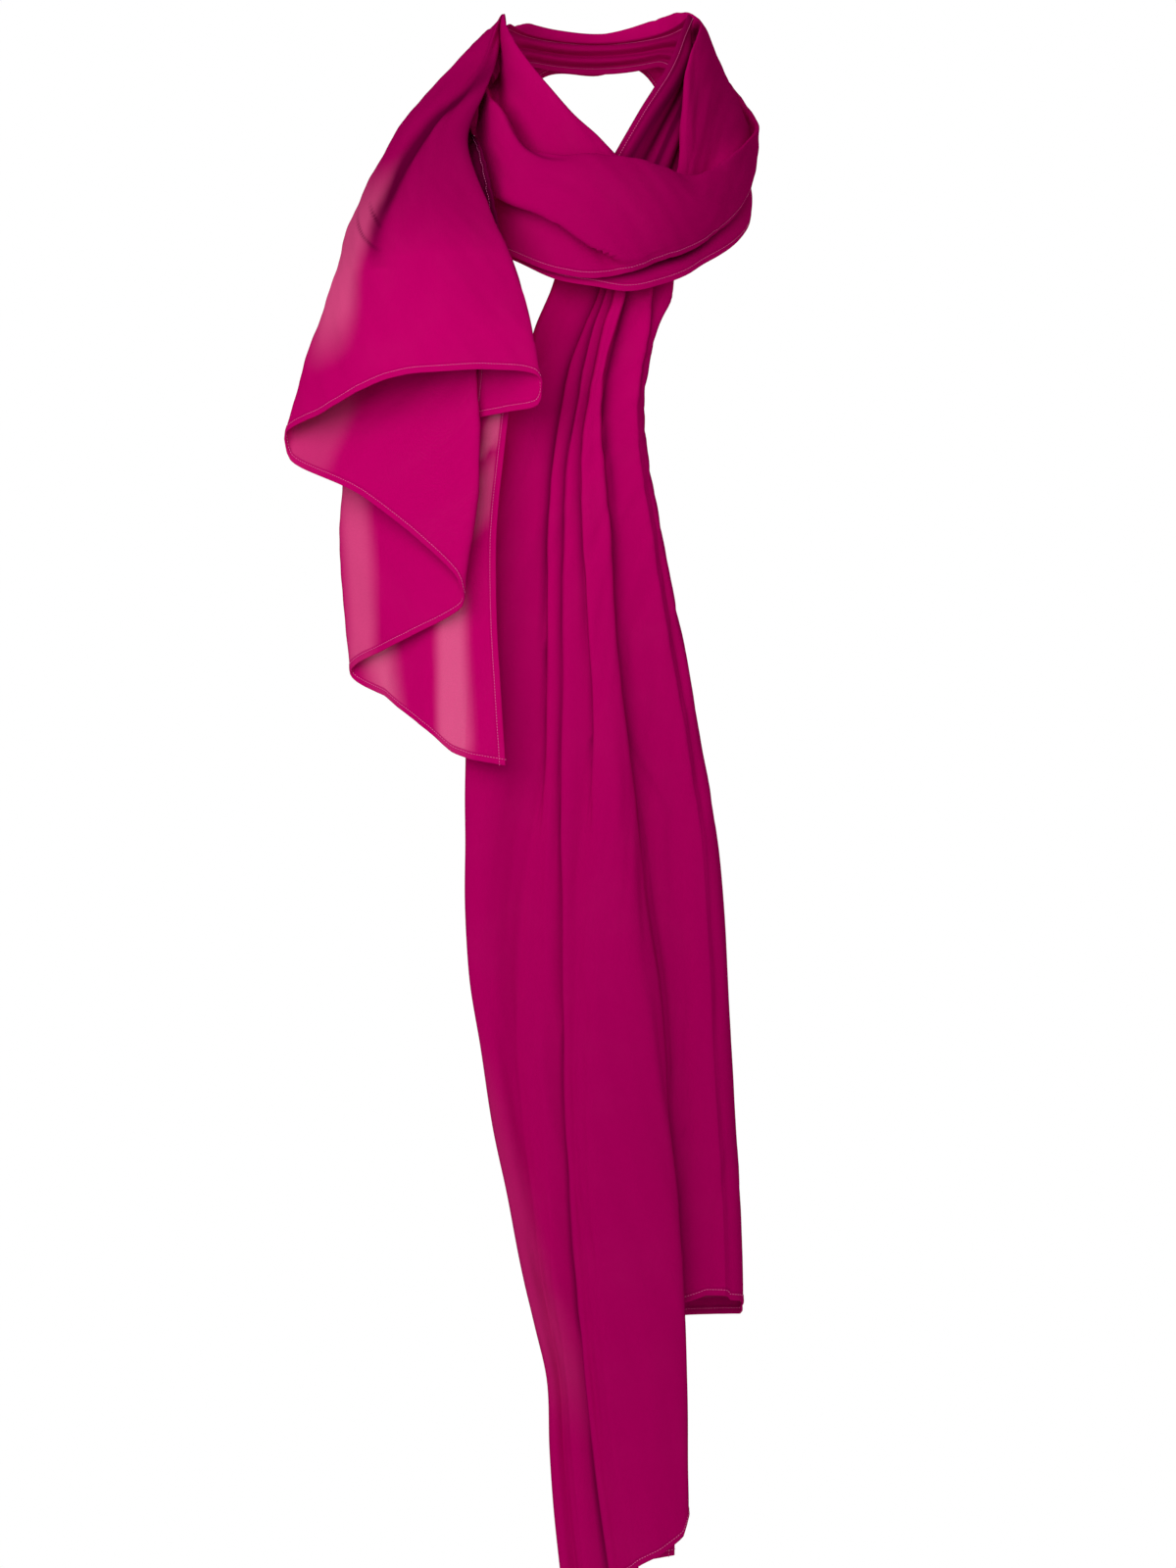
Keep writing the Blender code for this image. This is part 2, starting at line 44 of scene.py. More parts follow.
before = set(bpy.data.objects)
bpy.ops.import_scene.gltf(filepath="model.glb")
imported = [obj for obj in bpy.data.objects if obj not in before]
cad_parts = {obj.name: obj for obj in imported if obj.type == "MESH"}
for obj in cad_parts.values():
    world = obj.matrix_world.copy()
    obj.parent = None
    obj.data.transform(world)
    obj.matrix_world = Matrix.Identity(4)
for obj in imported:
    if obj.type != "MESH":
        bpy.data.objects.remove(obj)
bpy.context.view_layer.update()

MM = 0.001
BODY = "root"
SHORTEST = 0.3             # the shortest gap between two nodes that still shapes a curve
FEWEST = 2                 # points in any gap between two nodes
TINY = 1e-6                # the least length that a direction is divided by


# ---------------------------------------------------------------- curves

def table(names, *rows):
    """The rows of a table as one array for each named column."""
    return dict(zip(names.split(), np.array(rows, float).T))


def each(rows):
    """The rows of a table one after another, each by the names of its columns."""
    return [dict(zip(rows, values)) for values in zip(*rows.values())]


def slopes(knots, values):
    """Slope of a smooth curve at each of its knots."""
    steps = np.diff(knots, axis=0)
    runs = np.diff(values, axis=0) / steps
    inner = (runs[:-1] * steps[1:] + runs[1:] * steps[:-1]) / (steps[:-1] + steps[1:])
    return np.concatenate([runs[:1], inner, runs[-1:]])


def hermite(start, end, slope_start, slope_end, step, share):
    """Point on a cubic between two knots."""
    square, cube = share ** 2, share ** 3
    return ((2 * cube - 3 * square + 1) * start + (cube - 2 * square + share) * step * slope_start
            + (3 * square - 2 * cube) * end + (cube - square) * step * slope_end)


def read(rows, key, name, at):
    """Column `name` of a table at any value of its column `key`, on a smooth curve."""
    order = np.argsort(rows[key])
    knots, values = rows[key][order], rows[name][order]
    slope = slopes(knots, values)
    at = np.clip(at, knots[0], knots[-1])
    i = np.clip(np.searchsorted(knots, at) - 1, 0, len(knots) - 2)
    step = knots[i + 1] - knots[i]
    return hermite(values[i], values[i + 1], slope[i], slope[i + 1], step, (at - knots[i]) / step)


def ramp(value, low, high):
    """0 at low, 1 at high, with a soft start and end."""
    share = np.clip((value - low) / (high - low), 0, 1)
    return share * share * (3 - 2 * share)


def across(nodes, samples):
    """A smooth line through each row of nodes, with `samples` points in each gap."""
    nodes = np.moveaxis(nodes, 1, 0)
    chords = np.maximum(np.linalg.norm(np.diff(nodes, axis=0), axis=2, keepdims=True), SHORTEST)
    knots = np.concatenate([np.zeros_like(chords[:1]), np.cumsum(np.sqrt(chords), axis=0)])
    slope = slopes(knots, nodes)
    line = []
    for i, count in enumerate(samples):
        step = knots[i + 1] - knots[i]
        for k in range(count):
            line.append(hermite(nodes[i], nodes[i + 1], slope[i], slope[i + 1], step, k / count))
    line.append(nodes[-1])
    return np.stack(line, axis=1)


def share_out(nodes, total):
    """How many points each gap between nodes gets, by its length, with `total` in all."""
    chords = np.linalg.norm(np.diff(nodes, axis=1), axis=2).mean(axis=0)
    counts = np.maximum(FEWEST, np.round(total * chords / chords.sum())).astype(int)
    while counts.sum() != total:
        ratio = chords / counts
        if counts.sum() < total:
            counts[np.argmax(ratio)] += 1
        else:
            counts[np.argmin(np.where(counts > FEWEST, ratio, np.inf))] -= 1
    return counts.tolist()


def run_lengths(grid, axis):
    """Length run along the cloth to each point, from the first point of its line."""
    steps = np.linalg.norm(np.diff(grid[..., :3], axis=axis), axis=2)
    start = np.zeros_like(np.take(steps, [0], axis=axis))
    return np.concatenate([start, np.cumsum(steps, axis=axis)], axis=axis)


def blend(at, places, vectors):
    """Vectors in between those given at some places along a line."""
    return np.stack([np.interp(at, places, vectors[:, k]) for k in range(3)], axis=1)


def along(line, fraction):
    """Points at fractions of the length of one line of points."""
    run = run_lengths(line[None], 1)[0]
    return blend(fraction * run[-1], run, line)


# ---------------------------------------------------------------- the long fall

# Silhouettes and the noses of the five pleats, from side to side, at each height.
LONG_FALL = table(
    "height  left  nose_1  nose_2  nose_3  nose_4  nose_5  right  depth",
    (-126,   -22,    2,      8,      13,     20,     40,     50,   -67),
    (-155,   -29,    1,      7,      12,     20,     38,     51,   -72),
    (-180,   -40,    -9,     -2,     5,      14,     37,     41,   -76),
    (-200,   -45,    -17,    -7,     1,      8,      33,     36,   -80),
    (-230,   -59,    -24,    -12,    -6,     4,      29,     32,   -82),
    (-260,   -62,    -29,    -18,    -10,    5,      30,     34,   -83),
    (-312,   -71,    -33,    -21,    -10,    10,     38,     43,   -83),
    (-365,   -79,    -34,    -22,    -7,     13,     46,     53,   -83),
    (-415,   -84,    -34,    -22,    -4,     17,     55,     63,   -83),
    (-458,   -85,    -34,    -23,    -4,     24,     62,     70,   -82),
    (-509,   -86,    -37,    -23,    -4,     30,     70,     79,   -81),
    (-560,   -86,    -40,    -22,    -4,     35,     74,     84,   -80),
    (-610,   -83,    -42,    -22,    -6,     43,     77,     87,   -79),
    (-654,   -76,    -43,    -21,    -9,     47,     79,     89,   -78),
    (-707,   -68,    -40,    -20,    -9,     51,     82,     92,   -77),
    (-754,   -58,    -36,    -17,    -7,     55,     85,     95,   -76),
    (-810,   -47,    -31,    -13,    -2,     58,     87,     97,   -74),
    (-875,   -32,    -21,    -7,     3,      60,     87,     97,   -72),
    (-921,   -30,    -18,    -2,     9,      61,     86,     96,   -72),
    (-1025,  -21,    -7,     12,     24,     60,     84,     94,   -72),
)
FALL_TOP = -127.8
LAYER = 2.3                # from one layer of a pressed pleat to the next, at the gather
LAYER_LOW = 3.8            # and in the loose cloth at the foot
TUCK = 13.0                # width of cloth hidden inside a pleat
SHARP = 0.4                # half the gap inside a pressed nose
# From how far down to how far down each change of the long fall takes place.
TUCKED = (140, 260)        # the tucks reach their full width
ROOMY = (150, 320)         # the layers at the back come free
CALM = (180, 250)          # the fifth pleat runs out
LOOSE = (250, 650)         # the layers of the pleats come apart
FADING = (330, 560)        # the first and third pleats run out
OPENING = (400, 540)       # the nose of the fourth pleat opens
CLOSING = (660, 780)       # and closes again


def pleat(nose, tuck, soft, start, end, facing):
    """Six nodes of one pleat as (x, y), from the strip on its left to the strip on its right.
    start and end are the depths of the two strips; facing is 1 where the right strip lies on top and -1
    where the left one does. The tuck is the width of cloth hidden behind the nose."""
    if facing > 0:
        reach = (1.0, 1.12, 0.95, 0.12, 0.0, 0.14)
    else:
        reach = (-0.14, 0.0, -0.12, -0.95, -1.12, -1.0)
    apart = (-1.0, -0.6, -0.2, 0.2, 0.6, 1.0)
    lift = (0.0, 0.21, 0.42, 0.58, 0.79, 1.0)
    return [(nose + tuck * r + soft * a, start + (end - start) * s) for r, a, s in zip(reach, apart, lift)]


def fall_nodes(z):
    """The cloth's path from side to side at the heights z: back-left hem, front pleats, back-right hem."""
    row = {name: read(LONG_FALL, "height", name, z) for name in LONG_FALL}
    left, right, depth = row["left"], row["right"], row["depth"]
    low = ramp(-z, *LOOSE)
    layer = LAYER + (LAYER_LOW - LAYER) * low
    fade = ramp(-z, *FADING)
    firm = TUCK * (0.55 + 0.45 * ramp(-z, *TUCKED)) * (1 + 0.4 * low)
    faint = firm * (1 - fade)
    soft = 1.0 + 2.0 * fade
    between = row["nose_4"] - row["nose_3"]
    firm_4 = np.minimum(firm, 0.45 * between)
    faint_3 = np.minimum(faint, 0.8 * (between - 2) - firm_4)
    firm_2 = np.minimum(firm, 0.85 * (row["nose_4"] - row["nose_2"] - 3) - firm_4)
    panel = row["nose_1"] - left
    soft_1 = np.minimum(3 * soft, np.minimum(0.24 * panel, 0.4 * (row["nose_2"] - row["nose_1"])))
    soft_3 = np.minimum(2.5 * soft, np.minimum(0.4 * (row["nose_3"] - row["nose_2"]), 0.25 * between))
    last = 0.6 * firm * (1 - ramp(-z, *CALM))
    step_faint = 5.0 + 1.5 * fade
    puff = np.minimum(1, panel / 45)
    level = [depth]
    for step in (step_faint, 2 * layer, step_faint, -3.0 * layer, -2 * layer * (1 - 0.7 * fade)):
        level.append(level[-1] - step)
    room = 0.35 + 0.65 * ramp(-z, *ROOMY)
    wave = 5.0 * room
    back = depth + 5 + 4 * room
    behind = back + 5 + 6 * room
    reach = row["nose_4"] - 4 - left
    width = right - left
    nodes = [
        (left + 0.95 * reach, back),
        (left + 0.68 * reach, back - 0.5 * wave),
        (left + 0.38 * reach, back + 0.6 * wave),
        (left + 0.15 * reach, back - 0.1 * wave),
        (left + 1.2, back - 2.5 * room),
        (left, (depth + back) / 2 - 0.5),
        (left + 1.6, depth - 0.5),
        (left + 0.34 * panel, depth - (2.5 * room + 3 * low) * puff),
        (left + 0.64 * panel, depth - 1.5 * room * puff),
    ]
    for k, (tuck, gap) in enumerate(((faint, soft_1), (firm_2, SHARP), (faint_3, soft_3))):
        nodes += pleat(row[f"nose_{k + 1}"], tuck, gap, level[k], level[k + 1], 1)
    nodes.append(((row["nose_3"] + row["nose_4"]) / 2 + 0.1 * between, level[3] - 2.5 * low))
    loose = ramp(-z, *OPENING) * (1 - ramp(-z, *CLOSING))
    nodes += pleat(row["nose_4"], firm_4 * (1 - 0.85 * loose), SHARP + 7 * loose, level[3], level[4], -1)
    nodes.append(((row["nose_4"] + row["nose_5"]) / 2, level[4] + 1.0 * low))
    nodes += pleat(row["nose_5"], last, 1.5, level[4], level[5], -1)
    nodes += [
        (right - 1.2, (level[5] + depth) / 2),
        (right, (depth + behind) / 2 + 1),
        (right - 1.6, behind - 1),
        (right - 0.18 * width, behind + 0.7 * wave),
        (right - 0.36 * width, behind - 0.2 * wave),
        (right - 0.55 * width, behind + 0.8 * wave),
        (right - 0.72 * width, behind),
    ]
    return nodes


def flat_nodes(pairs, z):
    """(x, y) pairs at heights z as rows of points."""
    x = np.stack([np.broadcast_to(p[0], z.shape) for p in pairs], axis=1)
    y = np.stack([np.broadcast_to(p[1], z.shape) for p in pairs], axis=1)
    return np.stack([x, y, np.repeat(z[:, None], len(pairs), axis=1)], axis=2)


# How low the hem hangs along the path, by the number of the node: the right-hand panels are shorter.
FALL_HEM = table(
    "node  foot",
    (0,    -992),
    (4,    -1006),
    (8,    -1014),
    (15,   -1010),
    (21,   -1004),
    (26,   -998),
    (28,   -975),
    (29,   -962),
    (31,   -940),
    (33,   -830),
    (34,   -818),
    (38,   -819),
    (41,   -822),
    (43,   -833),
    (47,   -836),
)


# ---------------------------------------------------------------- the loop and the nape

# Sections round the neck: angle 0 is the front, 90 the right and 180 the nape; a radius and a height each.
LOOP = table(
    "angle neck_r neck_z valley_r valley_z rim_r rim_z belly_r belly_z "
    "nose_r nose_z tuck hem_r hem_z under_r under_z",
    (-104, 60,  44, 64,   14,  71,   6,  75,   -8,  75,  -28,  1,  73,  -46,  69,  -48),
    ( -90, 60,  37, 65,   -5,  73,  -3,  77,  -22,  78,  -44,  2,  77,  -62,  72,  -64),
    ( -75, 59,  26, 68,  -18,  77,  -8,  82,  -38,  84,  -62, 11,  82,  -84,  76,  -86),
    ( -60, 60,  14, 72,  -38,  81, -22,  89,  -54,  92,  -78, 21,  89, -108,  83, -110),
    ( -45, 61,   0, 76,  -58,  87, -35,  98,  -70, 101,  -90, 24,  95, -125,  91, -128),
    ( -30, 62, -17, 80,  -80,  91, -61, 106,  -84, 109, -101, 24, 100, -136,  95, -139),
    ( -15, 64, -35, 82,  -94,  95, -68, 112,  -94, 113, -112, 21, 103, -146,  98, -150),
    (   0, 67, -51, 84,  -98,  98, -68, 115,  -98, 113, -132,  8, 105, -150, 100, -155),
    (  12, 71, -66, 86, -100, 100, -70, 116, -102, 111, -139,  2, 106, -146, 101, -158),
    (  25, 76, -80, 89, -104, 101, -75, 116, -103, 111, -129,  1, 106, -137, 101, -153),
    (  37, 79, -84, 91, -106, 103, -80, 115, -104, 110, -122,  1, 106, -129, 102, -145),
    (  44, 78, -70, 91, -102, 104, -77, 115, -100, 110, -115,  1, 106, -122, 102, -138),
    (  51, 74, -22, 92,  -88, 105, -71, 114,  -94, 110, -108,  1, 106, -114, 103, -132),
    (  60, 71,   2, 93,  -66, 106, -62, 113,  -83, 110,  -97,  1, 107, -103, 104, -124),
    (  74, 70,  22, 95,  -44, 107, -49, 110,  -68, 109,  -80,  1, 107,  -86, 105, -110),
    (  88, 70,  32, 95,  -22, 109, -38, 110,  -54, 108,  -64,  1, 106,  -70, 104,  -97),
    ( 104, 71,  38, 92,   -2, 107, -22, 108,  -38, 107,  -50,  1, 105,  -56, 102,  -80),
    ( 120, 73,  45, 87,    8, 100,   4, 104,  -14, 103,  -30,  1, 101,  -36,  96,  -56),
    ( 138, 75,  47, 83,   24,  91,  41,  97,   14,  95,   -9,  1,  94,  -15,  86,  -28),
    ( 156, 76,  42, 83,   23,  90,  41,  96,   26,  95,   17,  1,  93,   12,  82,    9),
    ( 180, 76,  36, 83,   18,  90,  38,  96,   24,  95,   15,  1,  93,   11,  80,    8),
    ( 206, 76,  40, 83,   21,  90,  42,  96,   26,  95,   15,  1,  93,   10,  80,    6),
    ( 228, 76,  46, 83,   26,  90,  45,  96,   16,  95,   -8,  1,  93,  -16,  80,  -22),
)
LOOP_START = -95.0
FOLD_RADIUS = 1.7          # half the gap inside a turned fold
# The fold under the belly: the share of the way to the hem if it runs straight, or how far in, and up by so
# many tucks and so many millimetres, if it turns.
UNDER_FOLD = table(
    "plain  inward  upward  more",
    (-0.15, -0.4,   0.0,    3.0),
    (0.10,  1.0,    0.0,    -0.8),
    (0.25,  3.4,    0.0,    2.4),
    (0.40,  10.0,   0.9,    0.0),
    (0.55,  11.5,   1.05,   1.5),
    (0.70,  13.5,   0.8,    0.0),
    (0.85,  12.0,   0.1,    0.0),
)


def round_neck(angle, radius, height):
    """A point at an angle round the neck, in the row frame."""
    turn = np.radians(angle)
    return np.stack([radius * np.sin(turn), -radius * np.cos(turn), height + 0 * radius], axis=-1)


def loop_nodes(angle):
    """The loop's path across the cloth: from the under hem up the neck side, over the neckline and the rim,
    and down to the outer hem."""
    row = {name: read(LOOP, "angle", name, angle) for name in LOOP}
    lining_r = row["valley_r"] - 8 - 2 * ramp(row["tuck"], 4, 12)
    apart = row["hem_z"] - row["under_z"]
    bulge = 2.5 * ramp(apart, 8, 24)
    nodes = [
        (row["under_r"], row["under_z"]),
        (row["under_r"] - 1 + bulge, row["under_z"] + 0.45 * apart + 3),
        (0.45 * row["under_r"] + 0.55 * lining_r, 0.55 * row["under_z"] + 0.45 * row["valley_z"]),
        (lining_r, row["valley_z"] + 6),
        (row["neck_r"] + 0.1, row["neck_z"] - 10),
        (row["neck_r"] + FOLD_RADIUS, row["neck_z"]),
        (row["neck_r"] + 2.4 * FOLD_RADIUS, row["neck_z"] - 4),
        (0.5 * row["neck_r"] + 0.5 * row["valley_r"] + 1.5, 0.45 * row["neck_z"] + 0.55 * row["valley_z"]),
        (row["valley_r"], row["valley_z"]),
        (row["rim_r"] - 2.6, row["rim_z"] - 7),
        (row["rim_r"] - 1.2, row["rim_z"] - 1),
        (row["rim_r"] + 1.5, row["rim_z"]),
        (0.4 * row["rim_r"] + 0.6 * row["belly_r"], 0.68 * row["rim_z"] + 0.32 * row["belly_z"]),
        (row["belly_r"], row["belly_z"]),
    ]
    # the fold under the belly turns up into a tuck, or runs straight on to the hem where the tuck fades
    kept = ramp(row["tuck"], 1, 9)
    drop, step = row["nose_z"] - row["hem_z"], row["nose_r"] - row["hem_r"]
    for plain, inward, upward, more in zip(*UNDER_FOLD.values()):
        nodes.append((row["nose_r"] - (1 - kept) * plain * step - kept * inward,
                      row["nose_z"] - (1 - kept) * plain * drop + kept * (upward * row["tuck"] + more)))
    nodes.append((row["hem_r"], row["hem_z"]))
    radius, height = [np.stack(column, axis=1) for column in zip(*nodes)]
    return round_neck(angle[:, None] + 0 * radius, radius, height)


# The first pass behind the neck: a gathered band just inside the outer pass.
NAPE_BAND = table(
    "share  radius  height",
    (0.00,  63,     35),
    (0.10,  66,     32),
    (0.26,  62,     22),
    (0.42,  66.5,   13),
    (0.58,  62,     4),
    (0.74,  66,     -5),
    (0.90,  62,     -13),
    (1.00,  63,     -17),
)
NAPE_BAND_END = 264.25
NAPE_NARROW = 0.58         # share of its height that the band loses where it is gathered most
NAPE_GATHERED = (0, 50)    # degrees from either side of the neck over which it narrows
NAPE_GROWN = (40, 90)      # degrees from the nape over which the band gets higher
NAPE_TUCKED = (244, 264)   # the angles between which its end slips under the shoulder fall


# ---------------------------------------------------------------- the rise beside the neck

# The cloth of the long fall going on up: its neckline edge and its outer edge.
RISE = table(
    "share  inner_x  inner_y  inner_z  outer_x  outer_y  outer_z",
    (0.00,  -21,     -66,     -127,    50,      -62,     -127),
    (0.20,  -6,      -61,     -98,     57,      -52,     -113),
    (0.40,  12,      -58,     -64,     62,      -41,     -94),
    (0.60,  31,      -52,     -30,     66,      -30,     -70),
    (0.80,  50,      -34,     3,       69,      -15,     -44),
    (0.92,  58,      -15,     26,      68,      -13,     -32),
    (1.00,  61,      -8,      36,      65,      -8,      -26),
)
# Ridges and hollows across the rise, as distances out from the neck.
RISE_RELIEF = table(
    "share  out",
    (0.00,  0),
    (0.04,  2.2),
    (0.20,  3.4),
    (0.34,  -1.5),
    (0.42,  -1.0),
    (0.52,  3.6),
    (0.66,  -1.0),
    (0.78,  3.0),
    (0.90,  0.5),
    (1.00,  1.5),
)


# ---------------------------------------------------------------- the shoulder fall

# Lines that run down the cloth from the nape to the hem, in the order they lie across it: the hidden
# side hem, then turned folds, a ridge and a gutter in the front panel, and last the side hem that shows.
STATIONS = (0.0, 0.12, 0.25, 0.38, 0.52, 0.68, 0.84, 1.0)


def down_line(*points):
    """A line down the shoulder fall as a table: a point for each station."""
    return dict(table("x y z", *points), share=np.array(STATIONS))


SHOULDER = {
    "far_edge": down_line(
        (-58, 54, -19), (-72, 16, 5), (-76, -32, -12), (-90, -75, -61),
        (-79, -102, -118), (-74, -105, -160), (-76, -105, -200), (-81, -105, -242)),
    "right_front": down_line(
        (-59, 55, 2), (-64, 14, 30), (-68, -34, -4), (-86, -78, -55),
        (-71, -109, -104), (-57, -123, -139), (-44, -127, -180), (-37, -127, -225)),
    "ridge": down_line(
        (-61, 57, 20), (-62.5, 13, 41), (-75, -29, 4), (-102, -66, -50),
        (-108, -98, -99), (-104, -117, -137), (-101, -127, -175), (-98, -130, -213)),
    "gutter": down_line(
        (-63, 59, 34), (-69, 17, 34), (-78, -14, 2), (-111, -40, -37),
        (-141, -60, -97), (-150, -82, -139), (-151, -98, -180), (-151, -108, -222)),
    "left_front": down_line(
        (-67, 62, 43), (-82, 21, 22), (-91, 4, 8), (-127, -8, -35),
        (-159, -22, -96), (-174, -34, -147), (-190, -46, -197), (-204, -58, -257)),
    "right_middle": down_line(
        (-69, 64, 30), (-86, 22, 8), (-88, -8, -10), (-90, -66, -68),
        (-86, -98, -132), (-80, -110, -205), (-78, -112, -280), (-89, -112, -356)),
    "left_back": down_line(
        (-70, 65, 8), (-86, 20, -6), (-87, -12, -22), (-100, -40, -76),
        (-137, -44, -150), (-160, -45, -226), (-168, -48, -318), (-161, -52, -409)),
    "near_edge": down_line(
        (-70, 65, -20), (-80, 21, -40), (-85, -15, -42), (-75, -80, -62),
        (-64, -102, -112), (-52, -104, -179), (-65, -104, -327), (-59, -103, -465)),
}
# Folds among those lines: 1 where the cloth before the fold lies in front, and how far its hem steps down.
FOLDS = {
    "right_front": (-1, -9.0),
    "left_front": (1, 8.0),
    "right_middle": (1, 9.0),
    "left_back": (1, 4.5),
}
# Between two neighbouring lines: where the middle lies, how far it bows to the front at the shoulder and at
# the hem, and how far the hem sags there.
BOWS = table(
    "place  shoulder  hem    sag",
    (0.50,  1.0,      -1.5,  5.0),
    (0.50,  3.0,      3.0,   -7.0),
    (0.50,  3.0,      2.0,   -3.0),
    (0.50,  8.0,      5.0,   -4.0),
    (0.45,  2.0,      5.0,   -9.0),
    (0.50,  -1.0,     6.0,   3.0),
    (0.62,  -3.0,     11.0,  6.0),
)
TURN = 2.2                 # half the gap inside a turned fold of the shoulder fall
AHEAD = 0.01               # how far ahead and behind a line's direction is measured
# From what share to what share of its length each change of the shoulder fall takes place.
WIDENING = (0.2, 0.42)     # the turned folds widen
BOWING = (0.24, 0.4)       # the cloth starts to bow between its lines
HANGING = (0.45, 0.9)      # it hangs free
ENDING = (0.75, 1.0)       # its hem steps down from layer to layer


def unit(vectors):
    """The vectors drawn to a length of 1."""
    return vectors / np.maximum(np.linalg.norm(vectors, axis=1, keepdims=True), TINY)


def without(vectors, direction):
    """The part of each vector that is square to a unit direction."""
    return vectors - np.sum(vectors * direction, axis=1, keepdims=True) * direction


def shoulder_lines(share):
    """Points on each line of the shoulder fall at shares of the way down."""
    lines = {}
    for name, rows in SHOULDER.items():
        lines[name] = np.stack([read(rows, "share", axis, share) for axis in "xyz"], axis=1)
    return lines


def shoulder_nodes(share):
    """The shoulder fall's path across the cloth, with its turned folds and bows."""
    lines, ahead = shoulder_lines(share), shoulder_lines(share + AHEAD)
    behind = shoulder_lines(share - AHEAD)
    names = list(lines)
    low, late = ramp(share, *HANGING), ramp(share, *ENDING)
    turn = (TURN * (0.7 + 0.3 * ramp(share, *WIDENING)))[:, None]
    down = np.array([0.0, 0.0, -1.0])
    nodes = []
    for i, name in enumerate(names):
        line = lines[name]
        if name in FOLDS:
            front, step = FOLDS[name]
            run = unit(ahead[name] - behind[name])
            before = unit(without(lines[names[i - 1]] - line, run))
            after = unit(without(lines[names[i + 1]] - line, run))
            nose = -(before + after) / 2
            outward = unit(line * [1.0, 1.0, 0.0])
            across_fold = unit(without(without(before - after + 0.3 * front * outward, run), unit(nose)))
            apart = turn * across_fold
            fall = (late * step)[:, None] * down
            nodes += [line + apart - fall, line + turn * nose, line - apart + fall]
        else:
            nodes.append(line)
        if i < len(BOWS["place"]):
            bow = BOWS["shoulder"][i] * ramp(share, *BOWING) * (1 - low) + BOWS["hem"][i] * low
            middle = line + (lines[names[i + 1]] - line) * BOWS["place"][i]
            middle[:, 1] -= bow
            nodes.append(middle + (late * BOWS["sag"][i])[:, None] * down)
    return np.stack(nodes, axis=1)


# ---------------------------------------------------------------- the cloth at full detail

def add(name, data):
    """An object of that name in the scene."""
    thing = bpy.data.objects.new(name, data)
    bpy.context.scene.collection.objects.link(thing)
    return thing


# Across a hem: how far in from its edge, and how thick the wall is that stands for a double turn.
HEM_PROFILE = table(
    "inward  wall",
    (0.0,    0.70),
    (0.5,    1.20),
    (1.6,    1.35),
    (2.9,    1.25),
    (4.0,    0.85),
    (4.6,    1.15),
    (5.1,    1.00),
    (5.7,    0.45),
    (7.2,    0.45),
)
STITCHED_AT = 4            # the place in the profile where the stitches run
HEM_CLEAR = 0.8            # plain cloth kept free beside a hem
HEM_STEP = 3.0             # widest column of points between a hem and the rest of the cloth
FALL_COLUMNS = 225
FALL_ROWS = 185
WOUND_COLUMNS = 212
LOOP_ROWS = 150
JOIN_ROWS = 14
SHOULDER_ROWS = 170
INNER_COLUMNS = 70
HIDDEN_HEM_ROWS = 62       # rows of the shoulder fall whose hems lie deep in the folds
JOIN_FROM = 214.0          # the angle where the loop starts to become the shoulder fall
JOIN_TO = 0.05             # and the share of the shoulder fall where it has


def fill_in(start, gap):
    """Places that part a gap evenly, without its two ends."""
    count = max(FEWEST, int(np.ceil(gap.max() / HEM_STEP)))
    return start + gap * np.arange(1, count)[None] / count


def turn_hems(grid, both=True):
    """The grid with columns of their own for the hem along its last column, and along its first if both."""
    run = run_lengths(grid, 1)
    total = run[:, -1:]
    steps = HEM_PROFILE["inward"]
    skip = int((run <= steps[-1] + HEM_CLEAR).sum(axis=1).max()) if both else 0
    spare = int((total - run <= steps[-1] + HEM_CLEAR).sum(axis=1).max())
    inner = run[:, skip:run.shape[1] - spare]
    hem = np.tile(steps, (len(grid), 1))
    places = [inner, fill_in(inner[:, -1:], total - steps[-1] - inner[:, -1:]), total - hem[:, ::-1]]
    if both:
        places = [hem, fill_in(steps[-1], inner[:, :1] - steps[-1])] + places
    at = np.concatenate(places, axis=1)
    out = np.empty(at.shape + grid.shape[2:])
    for row in range(len(grid)):
        for k in range(grid.shape[2]):
            out[row, :, k] = np.interp(at[row], run[row], grid[row, :, k])
    return out


def turn_foot(grid):
    """The grid with rows of their own for the hem along its foot."""
    return turn_hems(grid.swapaxes(0, 1), both=False).swapaxes(0, 1)


def facing(grid):
    """Unit normals of the cloth."""
    across_cloth, down_cloth = np.gradient(grid, axis=1), np.gradient(grid, axis=0)
    normal = np.cross(across_cloth, down_cloth)
    return normal / np.maximum(np.linalg.norm(normal, axis=2, keepdims=True), 1e-9)


# Soft waves in the hanging cloth and in the wound cloth: how high, and how long across and down the cloth.
FALL_WAVES = table(
    "height  across  down    phase",
    (0.32,   31.0,   900.0,  0.4),
    (0.22,   17.0,   -640.0, 1.9),
    (0.12,   9.5,    410.0,  3.3),
)
WOUND_WAVES = table(
    "height  across  down    phase",
    (0.34,   46.0,   210.0,  0.9),
    (0.22,   23.0,   -160.0, 2.4),
    (0.10,   12.0,   95.0,   4.0),
)
SWAY = 1.5                 # how far the waves swing from their straight lines, in radians of phase
SWAY_LENGTH = 71.0         # length down the cloth of one radian of that swing
SWAY_SHIFT = 2.1           # and how much the swings differ from wave to wave


def unevenness(run_across, run_down, waves):
    """Soft waves over the cloth, as heights."""
    height = np.zeros_like(run_across)
    for size, long_across, long_down, phase in zip(*waves.values()):
        sway = SWAY * np.sin(run_down / SWAY_LENGTH + SWAY_SHIFT * phase)
        turns = run_across * 2 * np.pi / long_across + run_down * 2 * np.pi / long_down
        height += size * np.sin(turns + phase + sway)
    return height
